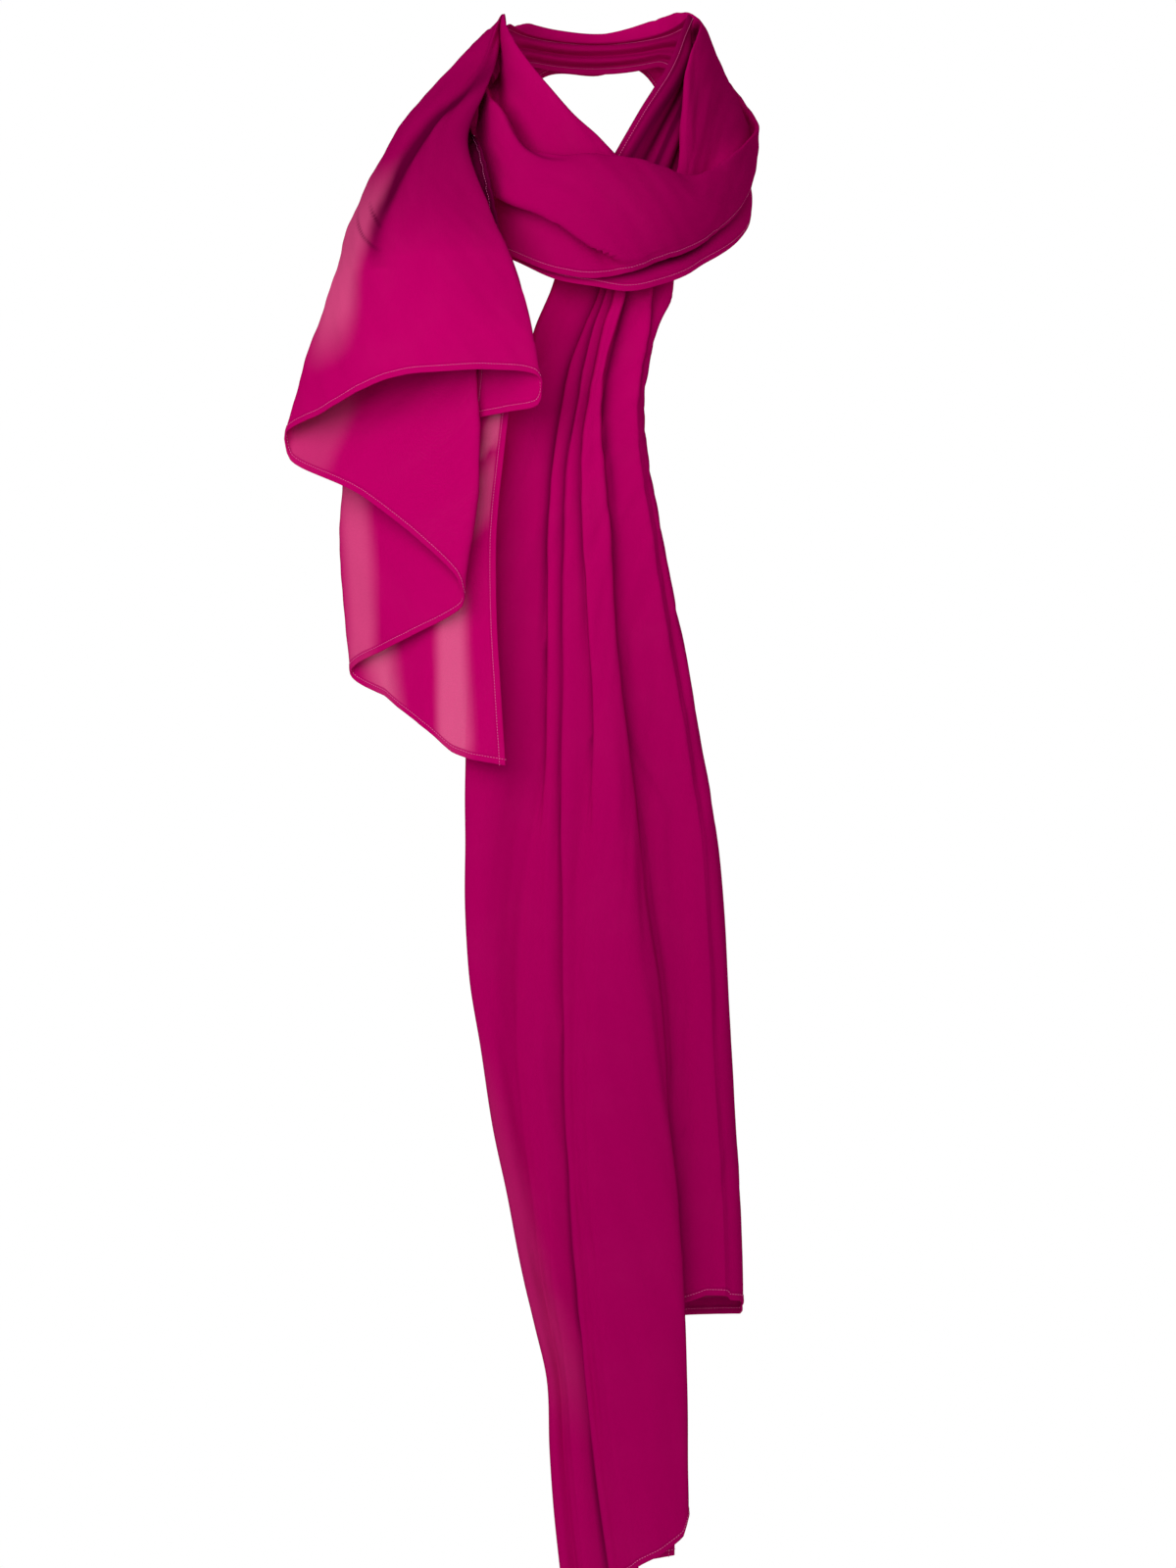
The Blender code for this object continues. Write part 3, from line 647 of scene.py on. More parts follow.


# Folds, creases and broad soft patches of painted shade: from how far down to how far down the run, their
# places across it as shares of its width, how far they swing aside in between, half their width, how far they
# stand out and how much shade is painted into the colour along them. Rows that do not stand out only paint
# shade: broad patches, darker where the light falls weakly, and the hollows along both side edges high on the
# shoulder fall.
CREASES = {
    "inner_pass": table(
        "start  end   at_start  at_end  swing  half    out   dark",
        (-100,  330,  0.4,      0.4,    0.0,   300.0,  0.0,  0.55),
        (25,    190,  0.13,     0.2,    0.02,  3.5,    1.2,  0.75),
        (40,    150,  0.3,      0.34,   0.0,   4.0,    0.8,  0.5),
        (20,    170,  0.47,     0.44,   0.0,   3.0,    1.2,  0.8),
        (20,    140,  0.66,     0.6,    0.0,   4.0,    0.8,  0.6),
    ),
    "outer_pass": table(
        "start  end   at_start  at_end  swing    half    out    dark",
        (650,   872,  0.12,     0.225,  0.0625,  13.0,   -4.0,  0.82),
        (700,   960,  0.06,     0.06,   0.0,     90.0,   0.0,   0.22),
        (540,   860,  0.3,      0.3,    0.0,     600.0,  0.0,   0.38),
        (-150,  460,  0.7,      0.7,    0.0,     300.0,  0.0,   0.2),
        (120,   420,  0.8,      0.8,    0.0,     200.0,  0.0,   0.18),
        (90,    150,  0.6,      0.64,   0.0,     2.5,    -1.0,  0.5),
        (806,   852,  0.318,    0.224,  0.0,     2.2,    -1.0,  0.65),
        (800,   824,  0.285,    0.236,  0.0,     2.0,    -0.8,  0.55),
        (640,   820,  0.0,      0.0,    0.0,     18.0,   0.0,   0.9),
        (640,   860,  1.0,      1.0,    0.0,     18.0,   0.0,   0.9),
    ),
    "long_fall": table(
        "start  end    at_start  at_end  swing  half    out   dark",
        (150,   1500,  0.6,      0.6,    0.0,   700.0,  0.0,  0.42),
        (380,   470,   0.64,     0.69,   0.0,   3.0,    0.8,  0.12),
    ),
}
# Where a single layer lets the daylight through, drawn by a lower alpha and by light painted into its colour:
# its bounds down the run and how soft they are, its bounds across as shares of the width, how far they lean
# and how soft they are, and how sheer it is.
SHEER = {
    "outer_pass": table(
        "top    bottom  soft  first   last     lean     blur    amount",
        (705,   822,    26,   0.245,  0.35,    0.03,    0.022,  0.9),
        (870,   925,    14,   0.395,  0.45,    0.0,     0.012,  0.3),
        (985,   1150,   16,   0.762,  0.799,   0.0,     0.012,  0.75),
        (1096,  1200,   12,   0.825,  0.872,   0.02,    0.02,   0.85),
        (1096,  1200,   12,   0.94,   0.968,   -0.014,  0.008,  0.85),
        (985,   1010,   3,    0.974,  0.9925,  0.0,     0.003,  0.7),
        (1018,  1060,   10,   0.974,  0.9925,  0.0,     0.003,  0.45),
    ),
    "long_fall": table(
        "top   bottom  soft  first  last   lean  blur   amount",
        (570,  800,    50,   0.16,  0.22,  0.0,  0.02,  0.15),
        (700,  722,    3,    0.82,  0.9,   0.0,  0.01,  0.8),
    ),
}


def creased(run_across, run_down, lines):
    """Heights of the folds and creases of one run, and the shade painted into the colour along them."""
    down, total = run_down.mean(axis=1), run_across[:, -1:]
    height, shade = np.zeros_like(run_across), np.zeros_like(run_across)
    for line in each(lines):
        share = (down - line["start"]) / (line["end"] - line["start"])
        place = line["at_start"] + (line["at_end"] - line["at_start"]) * share
        place += 4 * line["swing"] * share * (1 - share)
        strength = np.sin(np.pi * np.clip(share, 0, 1)) ** 0.7
        off = run_across - place[:, None] * total
        height += line["out"] * strength[:, None] * np.exp(-(off / line["half"]) ** 2)
        shade += line["dark"] * strength[:, None] * np.exp(-(1.6 * off / line["half"]) ** 2)
    return height, np.clip(shade, 0, 1)


def sheerness(run_across, down, patches):
    """How sheer each place of one run is, which also sets how much light coming through is painted into its
    colour.
    """
    part = run_across / run_across[:, -1:]
    sheer = np.zeros_like(run_across)
    for patch in each(patches):
        soft, blur = patch["soft"], patch["blur"]
        inside = ramp(down, patch["top"] - soft, patch["top"] + soft)
        inside = inside * (1 - ramp(down, patch["bottom"] - soft, patch["bottom"] + soft))
        first = patch["first"] + patch["lean"] * (down - patch["top"]) / (patch["bottom"] - patch["top"])
        inside = inside * ramp(part, first - blur, first + blur)
        inside = inside * (1 - ramp(part, patch["last"] - blur, patch["last"] + blur))
        sheer = np.maximum(sheer, patch["amount"] * inside)
    return sheer


SAMPLED_TO = -820          # the foot of the shortest panel: down to it the pleats are measured
SAMPLED_ROWS = 24


def long_fall_cloth():
    """The long fall: each line of points down the cloth ends at its own height."""
    heights_at = np.linspace(FALL_TOP, SAMPLED_TO, SAMPLED_ROWS)
    sample = flat_nodes(fall_nodes(heights_at), heights_at)
    samples = share_out(sample, FALL_COLUMNS)
    count = sample.shape[1]
    place = across(np.arange(count, dtype=float)[None, :, None] * np.ones(3), samples)[0, :, 0]
    foot = np.interp(place, FALL_HEM["node"], FALL_HEM["foot"])
    share = np.linspace(0, 1, FALL_ROWS)
    grid = np.empty((FALL_ROWS, len(place), 3))
    for column in range(len(place)):
        z = FALL_TOP + share * (foot[column] - FALL_TOP)
        grid[:, column] = across(flat_nodes(fall_nodes(z), z), samples)[:, column]
    grid = np.concatenate([gathered_top(grid[0]), grid])
    # a fourth value at each point: the shade painted in under the noses of the pleats
    return np.concatenate([grid, pleat_shade(grid, place)[..., None]], axis=2)


GATHER_RISE = 26.0         # how far the gathered end goes on up behind the loop
GATHER_ROWS = 10
GATHER_LEAN = (9.0, 5.0)   # how far it moves to the right and back by then
GATHER_PLEATS = 9.0        # how fast its small pleats follow one another


def gathered_top(line):
    """Rows above the long fall, drawn together towards the rise, from the top row down."""
    middle, depth = line[:, 0].mean(), line[:, 1].max()
    side = (line[:, 0] - middle) / np.abs(line[:, 0] - middle).max()
    rows = []
    for s in np.linspace(1, 0, GATHER_ROWS + 1)[:-1]:
        row = line.copy()
        row[:, 0] = middle + (line[:, 0] - middle) * (1 - 0.3 * s * s) + GATHER_LEAN[0] * s
        row[:, 1] = depth + (line[:, 1] - depth) * (1 - 0.55 * ramp(s, 0, 1)) + GATHER_LEAN[1] * s * s
        row[:, 1] += 1.1 * s * np.sin(GATHER_PLEATS * side)
        row[:, 2] += GATHER_RISE * s * (1.15 - 0.75 * side ** 2 + 0.12 * np.sin(GATHER_PLEATS * side))
        rows.append(row)
    return np.stack(rows)


# How much shade is painted into the colour along the pleats' edges at each height; then where each pleat's
# nodes start among the nodes of the fall, and which way it faces.
PLEAT_SHADE = table(
    "height  edge_1  edge_2  edge_3  edge_4  edge_5",
    (-130,   0.55,   0.55,   0.55,   0.70,   0.60),
    (-200,   0.80,   0.80,   0.70,   0.80,   0.30),
    (-330,   0.85,   0.75,   0.70,   0.55,   0.20),
    (-450,   0.60,   0.70,   0.60,   0.35,   0.20),
    (-520,   0.12,   0.65,   0.20,   0.26,   0.15),
    (-580,   0.00,   0.65,   0.00,   0.22,   0.12),
    (-700,   0.00,   0.65,   0.00,   0.25,   0.08),
    (-850,   0.00,   0.80,   0.00,   0.50,   0.05),
    (-1025,  0.00,   0.80,   0.00,   0.60,   0.05),
)
PLEAT_NODES = {"edge_1": (9, 1), "edge_2": (15, 1), "edge_3": (21, 1), "edge_4": (28, -1), "edge_5": (35, -1)}
EDGE_SOFT = (0.8, 3.5)     # how far the shade runs on over a pleat's nose, and over the strip under it


def pleat_shade(grid, place):
    """Shade painted into the colour where the cloth slips under the nose of a pleat."""
    shade = np.zeros(grid.shape[:2])
    for edge, (first, front) in PLEAT_NODES.items():
        dark = np.interp(-grid[:, :1, 2], -PLEAT_SHADE["height"], PLEAT_SHADE[edge])
        fold = (place > first + 0.5) & (place < first + 5.5)
        strip = (place <= first + 0.5) if front > 0 else (place >= first + 4.5)
        x = grid[..., 0] * front
        over = x - x[:, fold].min(axis=1, keepdims=True)
        soft = np.where(over > 0, np.exp(-(over / EDGE_SOFT[0]) ** 2), np.exp(over / EDGE_SOFT[1]))
        shade = np.maximum(shade, dark * soft * (fold | strip))
    return shade


def rise_section(share):
    """One line of points across the rise beside the neck."""
    share = np.array([share])
    edge = {name: read(RISE, "share", name, share)[:, None] for name in RISE}
    part = RISE_RELIEF["share"][None]
    x, y, z = [edge["inner_" + a] + (edge["outer_" + a] - edge["inner_" + a]) * part for a in "xyz"]
    bow = 5.0 * np.sin(np.pi * part) * (1 - 0.5 * share[:, None])
    radius = np.hypot(x, y)
    out = (radius + RISE_RELIEF["out"][None] + bow) / radius
    nodes = np.stack([x * out, y * out, z], axis=2)
    return across(nodes, share_out(nodes, INNER_COLUMNS))[0]


def nape_section(angle):
    """One line of points across the first pass behind the neck."""
    angle = np.array([angle])
    dip = 6 * np.sin(np.radians(angle - 90)) ** 2
    grow = 0.12 * ramp(np.abs(angle - 180), *NAPE_GROWN)
    tucked = ramp(angle, *NAPE_TUCKED)
    radius = NAPE_BAND["radius"][None] + 0 * angle[:, None]
    narrow = NAPE_NARROW * ramp(90 - np.abs(angle - 180), *NAPE_GATHERED)
    top = NAPE_BAND["height"][0]
    height = top - (top - NAPE_BAND["height"][None]) * (1 - narrow[:, None])
    height = height * (1 + grow[:, None]) - dip[:, None]
    height = height * (1 - 0.3 * tucked[:, None]) - 2 * tucked[:, None]
    radius = radius * (1 - tucked[:, None]) + (61.5 + 0.3 * (radius - 64)) * tucked[:, None]
    nodes = round_neck(angle[:, None] + 0 * radius, radius, height)
    return across(nodes, share_out(nodes, INNER_COLUMNS))[0]


RISE_KEPT = 0.9            # share of the rise up to where it bends over into the first pass
RISE_SECTIONS = 13
NAPE_FROM = 94             # and the angle where the first pass has begun
NAPE_SECTIONS = 26
INNER_ROWS = 5             # rows of points from one section to the next


def inner_pass_cloth():
    """The rise beside the neck and the first pass behind it, as one run of cloth."""
    sections = [rise_section(share) for share in np.linspace(0, RISE_KEPT, RISE_SECTIONS)]
    sections += [nape_section(angle) for angle in np.linspace(NAPE_FROM, NAPE_BAND_END + 4, NAPE_SECTIONS)]
    lines = np.stack(sections, axis=1)
    return across(lines, [INNER_ROWS] * (len(sections) - 1)).swapaxes(0, 1)


# How far the foot of the shoulder fall hangs below its plain line, by the share across the cloth.
FOOT_WAVE = table(
    "across  drop",
    (0.80,   0.0),
    (0.86,   -4.5),
    (0.89,   -0.5),
    (0.92,   3.0),
    (0.945,  9.0),
    (0.965,  8.5),
    (1.00,   4.0),
)
FOOT_WAVED = (0.8, 1.0)    # the stretch of the way down over which that drop comes in
FALL_PACE = 1.1            # above 1, the rows lie closer together at the start of the shoulder fall


def wound_cloth():
    """The loop, the second pass behind the neck and the shoulder fall, as one run of cloth."""
    angle = np.linspace(LOOP_START, JOIN_FROM, LOOP_ROWS)
    nodes = loop_nodes(angle)
    loop_part = across(nodes, share_out(nodes, WOUND_COLUMNS))
    share = JOIN_TO + (1 - JOIN_TO) * np.linspace(0, 1, SHOULDER_ROWS) ** FALL_PACE
    nodes = shoulder_nodes(share)
    fall_part = across(nodes, share_out(nodes, WOUND_COLUMNS))
    part = run_lengths(fall_part, 1)
    part /= part[:, -1:]
    drop = np.interp(part, FOOT_WAVE["across"], FOOT_WAVE["drop"])
    fall_part[..., 2] -= drop * ramp(share, *FOOT_WAVED)[:, None]
    before, after = loop_part[-1], fall_part[0]
    leaving, meeting = loop_part[-1] - loop_part[-2], fall_part[1] - fall_part[0]
    before_at = run_lengths(before[None], 1)[0]
    after_at = run_lengths(after[None], 1)[0]
    before_at, after_at = before_at / before_at[-1], after_at / after_at[-1]
    reach = np.linalg.norm(after.mean(axis=0) - before.mean(axis=0))
    join = []
    for s in np.linspace(0, 1, JOIN_ROWS + 2)[1:-1]:
        at = before_at + (after_at - before_at) * ramp(s, 0, 1)
        here, there = along(before, at), along(after, at)
        ways = [blend(at, before_at, leaving), blend(at, after_at, meeting)]
        ways = [way * (reach / np.maximum(np.linalg.norm(way, axis=1, keepdims=True), TINY)) for way in ways]
        join.append(hermite(here, there, *ways, 1.0, s))
    return np.concatenate([loop_part, np.stack(join), fall_part])


WAVES_FROM = (0, 40)       # how far down a run its soft waves come in


def finish_grid(name, grid, foot, waves):
    """Hems, folds, soft waves, normals, wall and lengths of one run of cloth."""
    grid = turn_hems(grid)
    if foot:
        grid = turn_foot(grid)
    # a fourth value, where the run has one, is shade painted in under the pleats' noses
    painted_pleat_shade = grid[..., 3] if grid.shape[2] > 3 else 0.0
    grid = grid[..., :3]
    run_across, run_down = run_lengths(grid, 1), run_lengths(grid, 0)
    inward = np.minimum(run_across, run_across[:, -1:] - run_across)
    if foot:
        inward = np.minimum(inward, run_down[-1:] - run_down)
    # heights of the folds, and the shade painted into the colour along them and in broad patches
    height, shade = creased(run_across, run_down, CREASES[name])
    height += unevenness(run_across, run_down, waves) * ramp(run_down, *WAVES_FROM)
    grid = grid + facing(grid) * height[..., None]
    wall = np.interp(inward, HEM_PROFILE["inward"], HEM_PROFILE["wall"])
    sheer = sheerness(run_across, run_down, SHEER.get(name, {}))
    return {"grid": grid, "normal": facing(grid), "wall": wall, "u": run_across, "v": run_down,
            "inward": inward, "shade": np.maximum(shade, painted_pleat_shade), "sheer": sheer}


def part_of(run, rows):
    """Some rows of a run of cloth, with all that goes with them."""
    return {name: values[rows] for name, values in run.items()}


SHARP_FROM = math.radians(65)   # edges that turn more than this are drawn sharp


def shell(name, run):
    """One closed thin shell of cloth."""
    rows, columns = run["grid"].shape[:2]
    offset = run["normal"] * run["wall"][..., None] / 2
    points = np.concatenate([(run["grid"] + offset).reshape(-1, 3), (run["grid"] - offset).reshape(-1, 3)])
    corner = np.arange(rows * columns).reshape(rows, columns)
    front = [corner[:-1, :-1], corner[:-1, 1:], corner[1:, 1:], corner[1:, :-1]]
    front = np.stack(front, axis=-1).reshape(-1, 4)
    edge = np.concatenate([corner[0, :-1], corner[:-1, -1], corner[-1, :0:-1], corner[:0:-1, 0]])
    after = np.roll(edge, -1)
    under = rows * columns
    rim = np.stack([after, edge, edge + under, after + under], axis=-1)
    faces = np.concatenate([front, front[:, ::-1] + under, rim])
    mesh = bpy.data.meshes.new(name)
    mesh.from_pydata((points * MM).tolist(), [], faces.tolist())
    corners = np.empty(len(mesh.loops), dtype=np.int32)
    mesh.loops.foreach_get("vertex_index", corners)
    place = np.stack([run["u"].ravel(), run["v"].ravel()], axis=1) * MM
    place = np.concatenate([place, place])[corners]
    mesh.uv_layers.new(name="UVMap").data.foreach_set("uv", place.astype(np.float32).ravel())
    # the shade and sheer values carry the painted shade and the painted light coming through for the material
    for label in ("inward", "shade", "sheer"):
        layer = mesh.attributes.new(label, "FLOAT", "POINT")
        values = np.concatenate([run[label].ravel(), run[label].ravel()])
        layer.data.foreach_set("value", values.astype(np.float32))
    mesh.shade_smooth()
    mesh.set_sharp_from_angle(angle=SHARP_FROM)
    return add(name, mesh)


def flat_size(run):
    """Width and length of the cloth that the run takes, in metres."""
    return float(run["u"][:, -1].mean() * MM), float((run["v"][-1] - run["v"][0]).mean() * MM)


THREAD_LIFT = 0.05         # how far the middle of the thread stands off the cloth


def hem_paths(run, from_row, foot):
    """Lines where the stitches run, on both faces."""
    lines = []
    rows, columns = run["wall"].shape
    picks = [(slice(from_row, None), column) for column in (STITCHED_AT, columns - 1 - STITCHED_AT)]
    if foot:
        picks.append((rows - 1 - STITCHED_AT, slice(None)))
    for pick in picks:
        for side in (1, -1):
            normal = run["normal"][pick] * side
            lines.append(run["grid"][pick] + normal * (run["wall"][pick][:, None] / 2 + THREAD_LIFT))
    return lines


# ---------------------------------------------------------------- node trees

class Wire:
    """A socket that takes part in arithmetic by adding Math nodes."""

    def __init__(self, tree, socket):
        self.tree, self.socket = tree, socket

    def math(self, operation, *others, first=None):
        """The wire after one operation; another value may take the first place."""
        node = self.tree.nodes.new("ShaderNodeMath")
        node.operation = operation
        for socket, value in zip(node.inputs, [self if first is None else first, *others]):
            put(socket, value)
        return Wire(self.tree, node.outputs[0])

    def __add__(self, other):
        return self.math("ADD", other)

    def __mul__(self, other):
        return self.math("MULTIPLY", other)

    __rmul__ = __mul__

    def __sub__(self, other):
        return self.math("SUBTRACT", other)

    def __rsub__(self, other):
        return self.math("SUBTRACT", self, first=other)

    def clamp(self):
        """The wire held between 0 and 1."""
        return self.math("MAXIMUM", 0.0).math("MINIMUM", 1.0)


def put(socket, value):
    """Link or set an input of a node."""
    if isinstance(value, Wire):
        value.tree.links.new(value.socket, socket)
    else:
        socket.default_value = value


def add_node(tree, kind, output=0, settings=None, **sockets):
    """A new node with its settings and inputs, as the wire of one of its outputs."""
    node = tree.nodes.new(kind)
    for key, value in (settings or {}).items():
        setattr(node, key, value)
    for key, value in sockets.items():
        put(node.inputs[int(key[1:]) if key[0] == "_" else key.replace("_", " ")], value)
    return Wire(tree, node.outputs[output])


# ---------------------------------------------------------------- stitches

BEAD = {"Segments": 6, "Rings": 4, "Radius": 0.5}   # the round form that is drawn out into a stitch


def stitch_tree(thread):
    """A tree that lays a row of stitches along lines, as small rounded threads."""
    tree = bpy.data.node_groups.new("hem_stitches", "GeometryNodeTree")
    face = tree.interface
    face.new_socket("Geometry", in_out="INPUT", socket_type="NodeSocketGeometry")
    sizes = {}
    for label in ("Pitch", "Stitch Length", "Thread Width"):
        sizes[label] = face.new_socket(label, in_out="INPUT", socket_type="NodeSocketFloat").identifier
    face.new_socket("Geometry", in_out="OUTPUT", socket_type="NodeSocketGeometry")
    start = tree.nodes.new("NodeGroupInput")
    lines, pitch, length, width = [Wire(tree, socket) for socket in list(start.outputs)[:4]]
    curve = add_node(tree, "GeometryNodeMeshToCurve", Mesh=lines)
    even = add_node(tree, "GeometryNodeResampleCurve", settings={"mode": "LENGTH"}, Curve=curve, Length=pitch)
    bead = add_node(tree, "GeometryNodeMeshUVSphere", **BEAD)
    size = add_node(tree, "ShaderNodeCombineXYZ", X=width, Y=width, Z=length)
    tangent = add_node(tree, "GeometryNodeInputTangent")
    aim = add_node(tree, "FunctionNodeAlignRotationToVector", settings={"axis": "Z"}, Vector=tangent)
    lay = add_node(tree, "GeometryNodeInstanceOnPoints", Points=even, Instance=bead, Rotation=aim, Scale=size)
    real = add_node(tree, "GeometryNodeRealizeInstances", Geometry=lay)
    painted = add_node(tree, "GeometryNodeSetMaterial", Geometry=real, Material=thread)
    put(tree.nodes.new("NodeGroupOutput").inputs[0], painted)
    return tree, sizes


def stitches(name, lines, thread, look):
    """One piece of stitches along the given lines."""
    points, edges, count = [], [], 0
    for line in lines:
        points += (line * MM).tolist()
        edges += [(count + i, count + i + 1) for i in range(len(line) - 1)]
        count += len(line)
    mesh = bpy.data.meshes.new(name + "_line")
    mesh.from_pydata(points, edges, [])
    guide = add(name + "_line", mesh)
    tree, sizes = stitch_tree(thread)
    modifier = guide.modifiers.new("stitches", "NODES")
    modifier.node_group = tree
    modifier[sizes["Pitch"]] = look.stitch_pitch
    modifier[sizes["Stitch Length"]] = look.stitch_length
    modifier[sizes["Thread Width"]] = look.thread_width
    bpy.context.view_layer.update()
    made = bpy.data.meshes.new_from_object(guide.evaluated_get(bpy.context.evaluated_depsgraph_get()))
    made.name = name
    made.shade_smooth()
    thing = add(name, made)
    bpy.data.objects.remove(guide)
    return thing


# ---------------------------------------------------------------- materials

class Paint:
    """A material, with one way of adding nodes to it."""

    def __init__(self, name):
        self.material = bpy.data.materials.new(name)
        self.material.use_nodes = True
        self.tree = self.material.node_tree
        self.shader = self.tree.nodes["Principled BSDF"]

    def node(self, kind, **inputs):
        return add_node(self.tree, kind, **inputs)

    def mix(self, share, low, high):
        """A colour between two others."""
        return self.node("ShaderNodeMix", output=2, settings={"data_type": "RGBA"}, _0=share, _6=low, _7=high)

    def set(self, **sockets):
        for key, value in sockets.items():
            put(self.shader.inputs[key.replace("_", " ")], value)


HEM_WIDTH = 5.3            # how far in the cloth is coloured as a hem, in millimetres
SEAM_HALF = 0.45           # half the width of the dark line beside it
CREPE_SCALE = 1100.0       # how fine the crepe grain is
SLUB_SCALE = 26.0          # and the uneven threads
TWIST_SCALE = 3000.0       # and the twist of the sewing thread


def georgette(look):
    """Crepe-thread cloth that shows what lies behind a single layer, with painted-in light there and
    painted-in shade in folds.
    """
    paint = Paint("fuchsia_georgette")
    place = paint.node("ShaderNodeUVMap", settings={"uv_map": "UVMap"})
    parts = paint.node("ShaderNodeSeparateXYZ", Vector=place).socket.node
    u, v = [Wire(paint.tree, socket) for socket in list(parts.outputs)[:2]]
    inward, shade, sheer = [
        paint.node("ShaderNodeAttribute", output="Fac", settings={"attribute_name": name})
        for name in ("inward", "shade", "sheer")]
    turn = 2 * math.pi / look.thread_pitch
    weave = (u * turn).math("SINE") * (v * turn).math("SINE")
    crepe = paint.node("ShaderNodeTexNoise", Vector=place, Scale=CREPE_SCALE, Detail=2.0, Roughness=0.6)
    slub = paint.node("ShaderNodeTexNoise", Vector=place, Scale=SLUB_SCALE, Detail=3.0, Roughness=0.55)
    tone = (crepe - 0.5) * 0.3 + (slub - 0.5) * 0.25 + weave * 0.05
    hem = inward.math("LESS_THAN", HEM_WIDTH)
    seam = (inward - HEM_WIDTH).math("ABSOLUTE").math("LESS_THAN", SEAM_HALF)
    deep, bright, dark = [tuple(c) + (1.0,) for c in (look.cloth_colour, look.lit_colour, look.painted_shade_colour)]
    # light coming through a single sheer layer is painted in as the lighter colour, less on the hems; crepe
    # and slub add uneven tone
    light = (sheer * (1.0 - 0.8 * hem) + tone * 0.35).clamp()
    lit = paint.mix(light, deep, bright)
    # painted shade from the creases, pleats and hollows, with the dark line beside each hem and a touch more
    # on the hem
    deepened = (shade + seam * 0.12 + hem * 0.02).clamp()
    colour = paint.mix(deepened, lit, dark)
    height = weave * 0.4 + crepe * 0.9
    bump = paint.node("ShaderNodeBump", Strength=0.3, Distance=0.0003, Height=height)
    alpha = (sheer * (hem * 0.75 - 1.0)) * (1.0 - look.sheer_cover) + 1.0 + (crepe - 0.5) * sheer * 0.2
    paint.set(Base_Color=colour, Roughness=(crepe - 0.5) * 0.12 + 0.8, Alpha=alpha.clamp(), Normal=bump)
    paint.set(Specular_IOR_Level=0.0)
    return paint.material


def sewing_thread(look):
    """Spun polyester thread, a little lighter than the cloth."""
    paint = Paint("pink_sewing_thread")
    place = paint.node("ShaderNodeTexCoord", output="Object")
    twist = paint.node("ShaderNodeTexNoise", Vector=place, Scale=TWIST_SCALE, Detail=1.0)
    dark, light = [tuple(c * k for c in look.thread_colour) + (1.0,) for k in (0.85, 1.1)]
    colour = paint.mix(twist, dark, light)
    bump = paint.node("ShaderNodeBump", Strength=0.3, Distance=0.0001, Height=twist)
    paint.set(Base_Color=colour, Roughness=(twist - 0.5) * 0.1 + 0.5, Normal=bump)
    return paint.material


def once(name, make, *args):
    """The material of that name, made the first time it is asked for."""
    return bpy.data.materials.get(name) or make(*args)


# ---------------------------------------------------------------- sizes and colours a user would change

class StoleLook(bpy.types.PropertyGroup):
    """Sizes and colours of the cloth and its sewing."""

    cloth_colour: FloatVectorProperty(
        name="Cloth Colour", description="Colour of the georgette where it lies in several layers",
        subtype="COLOR", size=3, min=0, max=1, default=(0.50, 0.0, 0.125))
    # light coming through a single layer, painted into the colour of the cloth
    lit_colour: FloatVectorProperty(
        name="Lit Colour", description="Colour of the georgette where light comes through a single layer",
        subtype="COLOR", size=3, min=0, max=1, default=(0.82, 0.085, 0.27))
    thread_colour: FloatVectorProperty(
        name="Thread Colour", description="Colour of the sewing thread",
        subtype="COLOR", size=3, min=0, max=1, default=(0.78, 0.13, 0.37))
    # shade painted into the colour deep in folds, creases and hollows
    painted_shade_colour: FloatVectorProperty(
        name="Painted Shade Colour", description="Colour of the georgette deep in a fold",
        subtype="COLOR", size=3, min=0, max=1, default=(0.12, 0.0, 0.032))
    sheer_cover: FloatProperty(
        name="Sheer Cover", description="How much one face of a single sheer layer hides what lies behind it",
        subtype="FACTOR", min=0, max=1, default=0.82)
    thread_pitch: FloatProperty(
        name="Thread Pitch", description="Distance between threads of the weave",
        subtype="DISTANCE", min=0.0002, max=0.002, default=0.0006)
    stitch_pitch: FloatProperty(
        name="Stitch Pitch", description="Distance from one stitch to the next",
        subtype="DISTANCE", min=0.001, max=0.005, default=0.0019)
    stitch_length: FloatProperty(
        name="Stitch Length", description="Length of thread that shows in one stitch",
        subtype="DISTANCE", min=0.0005, max=0.004, default=0.0014)
    thread_width: FloatProperty(
        name="Thread Width", description="Width of the sewing thread",
        subtype="DISTANCE", min=0.0001, max=0.001, default=0.0004)


class StoleStage(bpy.types.PropertyGroup):
    """Floor, light and camera."""

    floor_height: FloatProperty(
        name="Floor Height", description="Height of the floor under the hanging stole",
        subtype="DISTANCE", default=-1.26)
    sky: FloatProperty(
        name="Surround", description="Strength of the even light from all round", min=0, default=0.28)
    key_power: FloatProperty(
        name="Key Power", description="Power of the large soft light",
        subtype="POWER", unit="POWER", min=0, default=14.0)
    fill_power: FloatProperty(
        name="Fill Power", description="Power of the light in front",
        subtype="POWER", unit="POWER", min=0, default=9.0)
    back_power: FloatProperty(
        name="Back Power", description="Power of the light behind",
        subtype="POWER", unit="POWER", min=0, default=7.0)
    camera_distance: FloatProperty(
        name="Camera Distance", description="From the camera to the neck's axis",
        subtype="DISTANCE", min=0.5, default=3.4)


# ---------------------------------------------------------------- operators

def put_on(thing, material, *nodes):
    """Give a piece its material, its body and the solids that it stands for."""
    thing.data.materials.clear()
    thing.data.materials.append(material)
    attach(thing, BODY)
    if nodes:
        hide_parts(*nodes)


def sew(name, lines, look):
    """The stitches of one piece of cloth."""
    thread = once("pink_sewing_thread", sewing_thread, look)
    thing = stitches(name, lines, thread, look)
    put_on(thing, thread)
    return thing


RUNS = {}


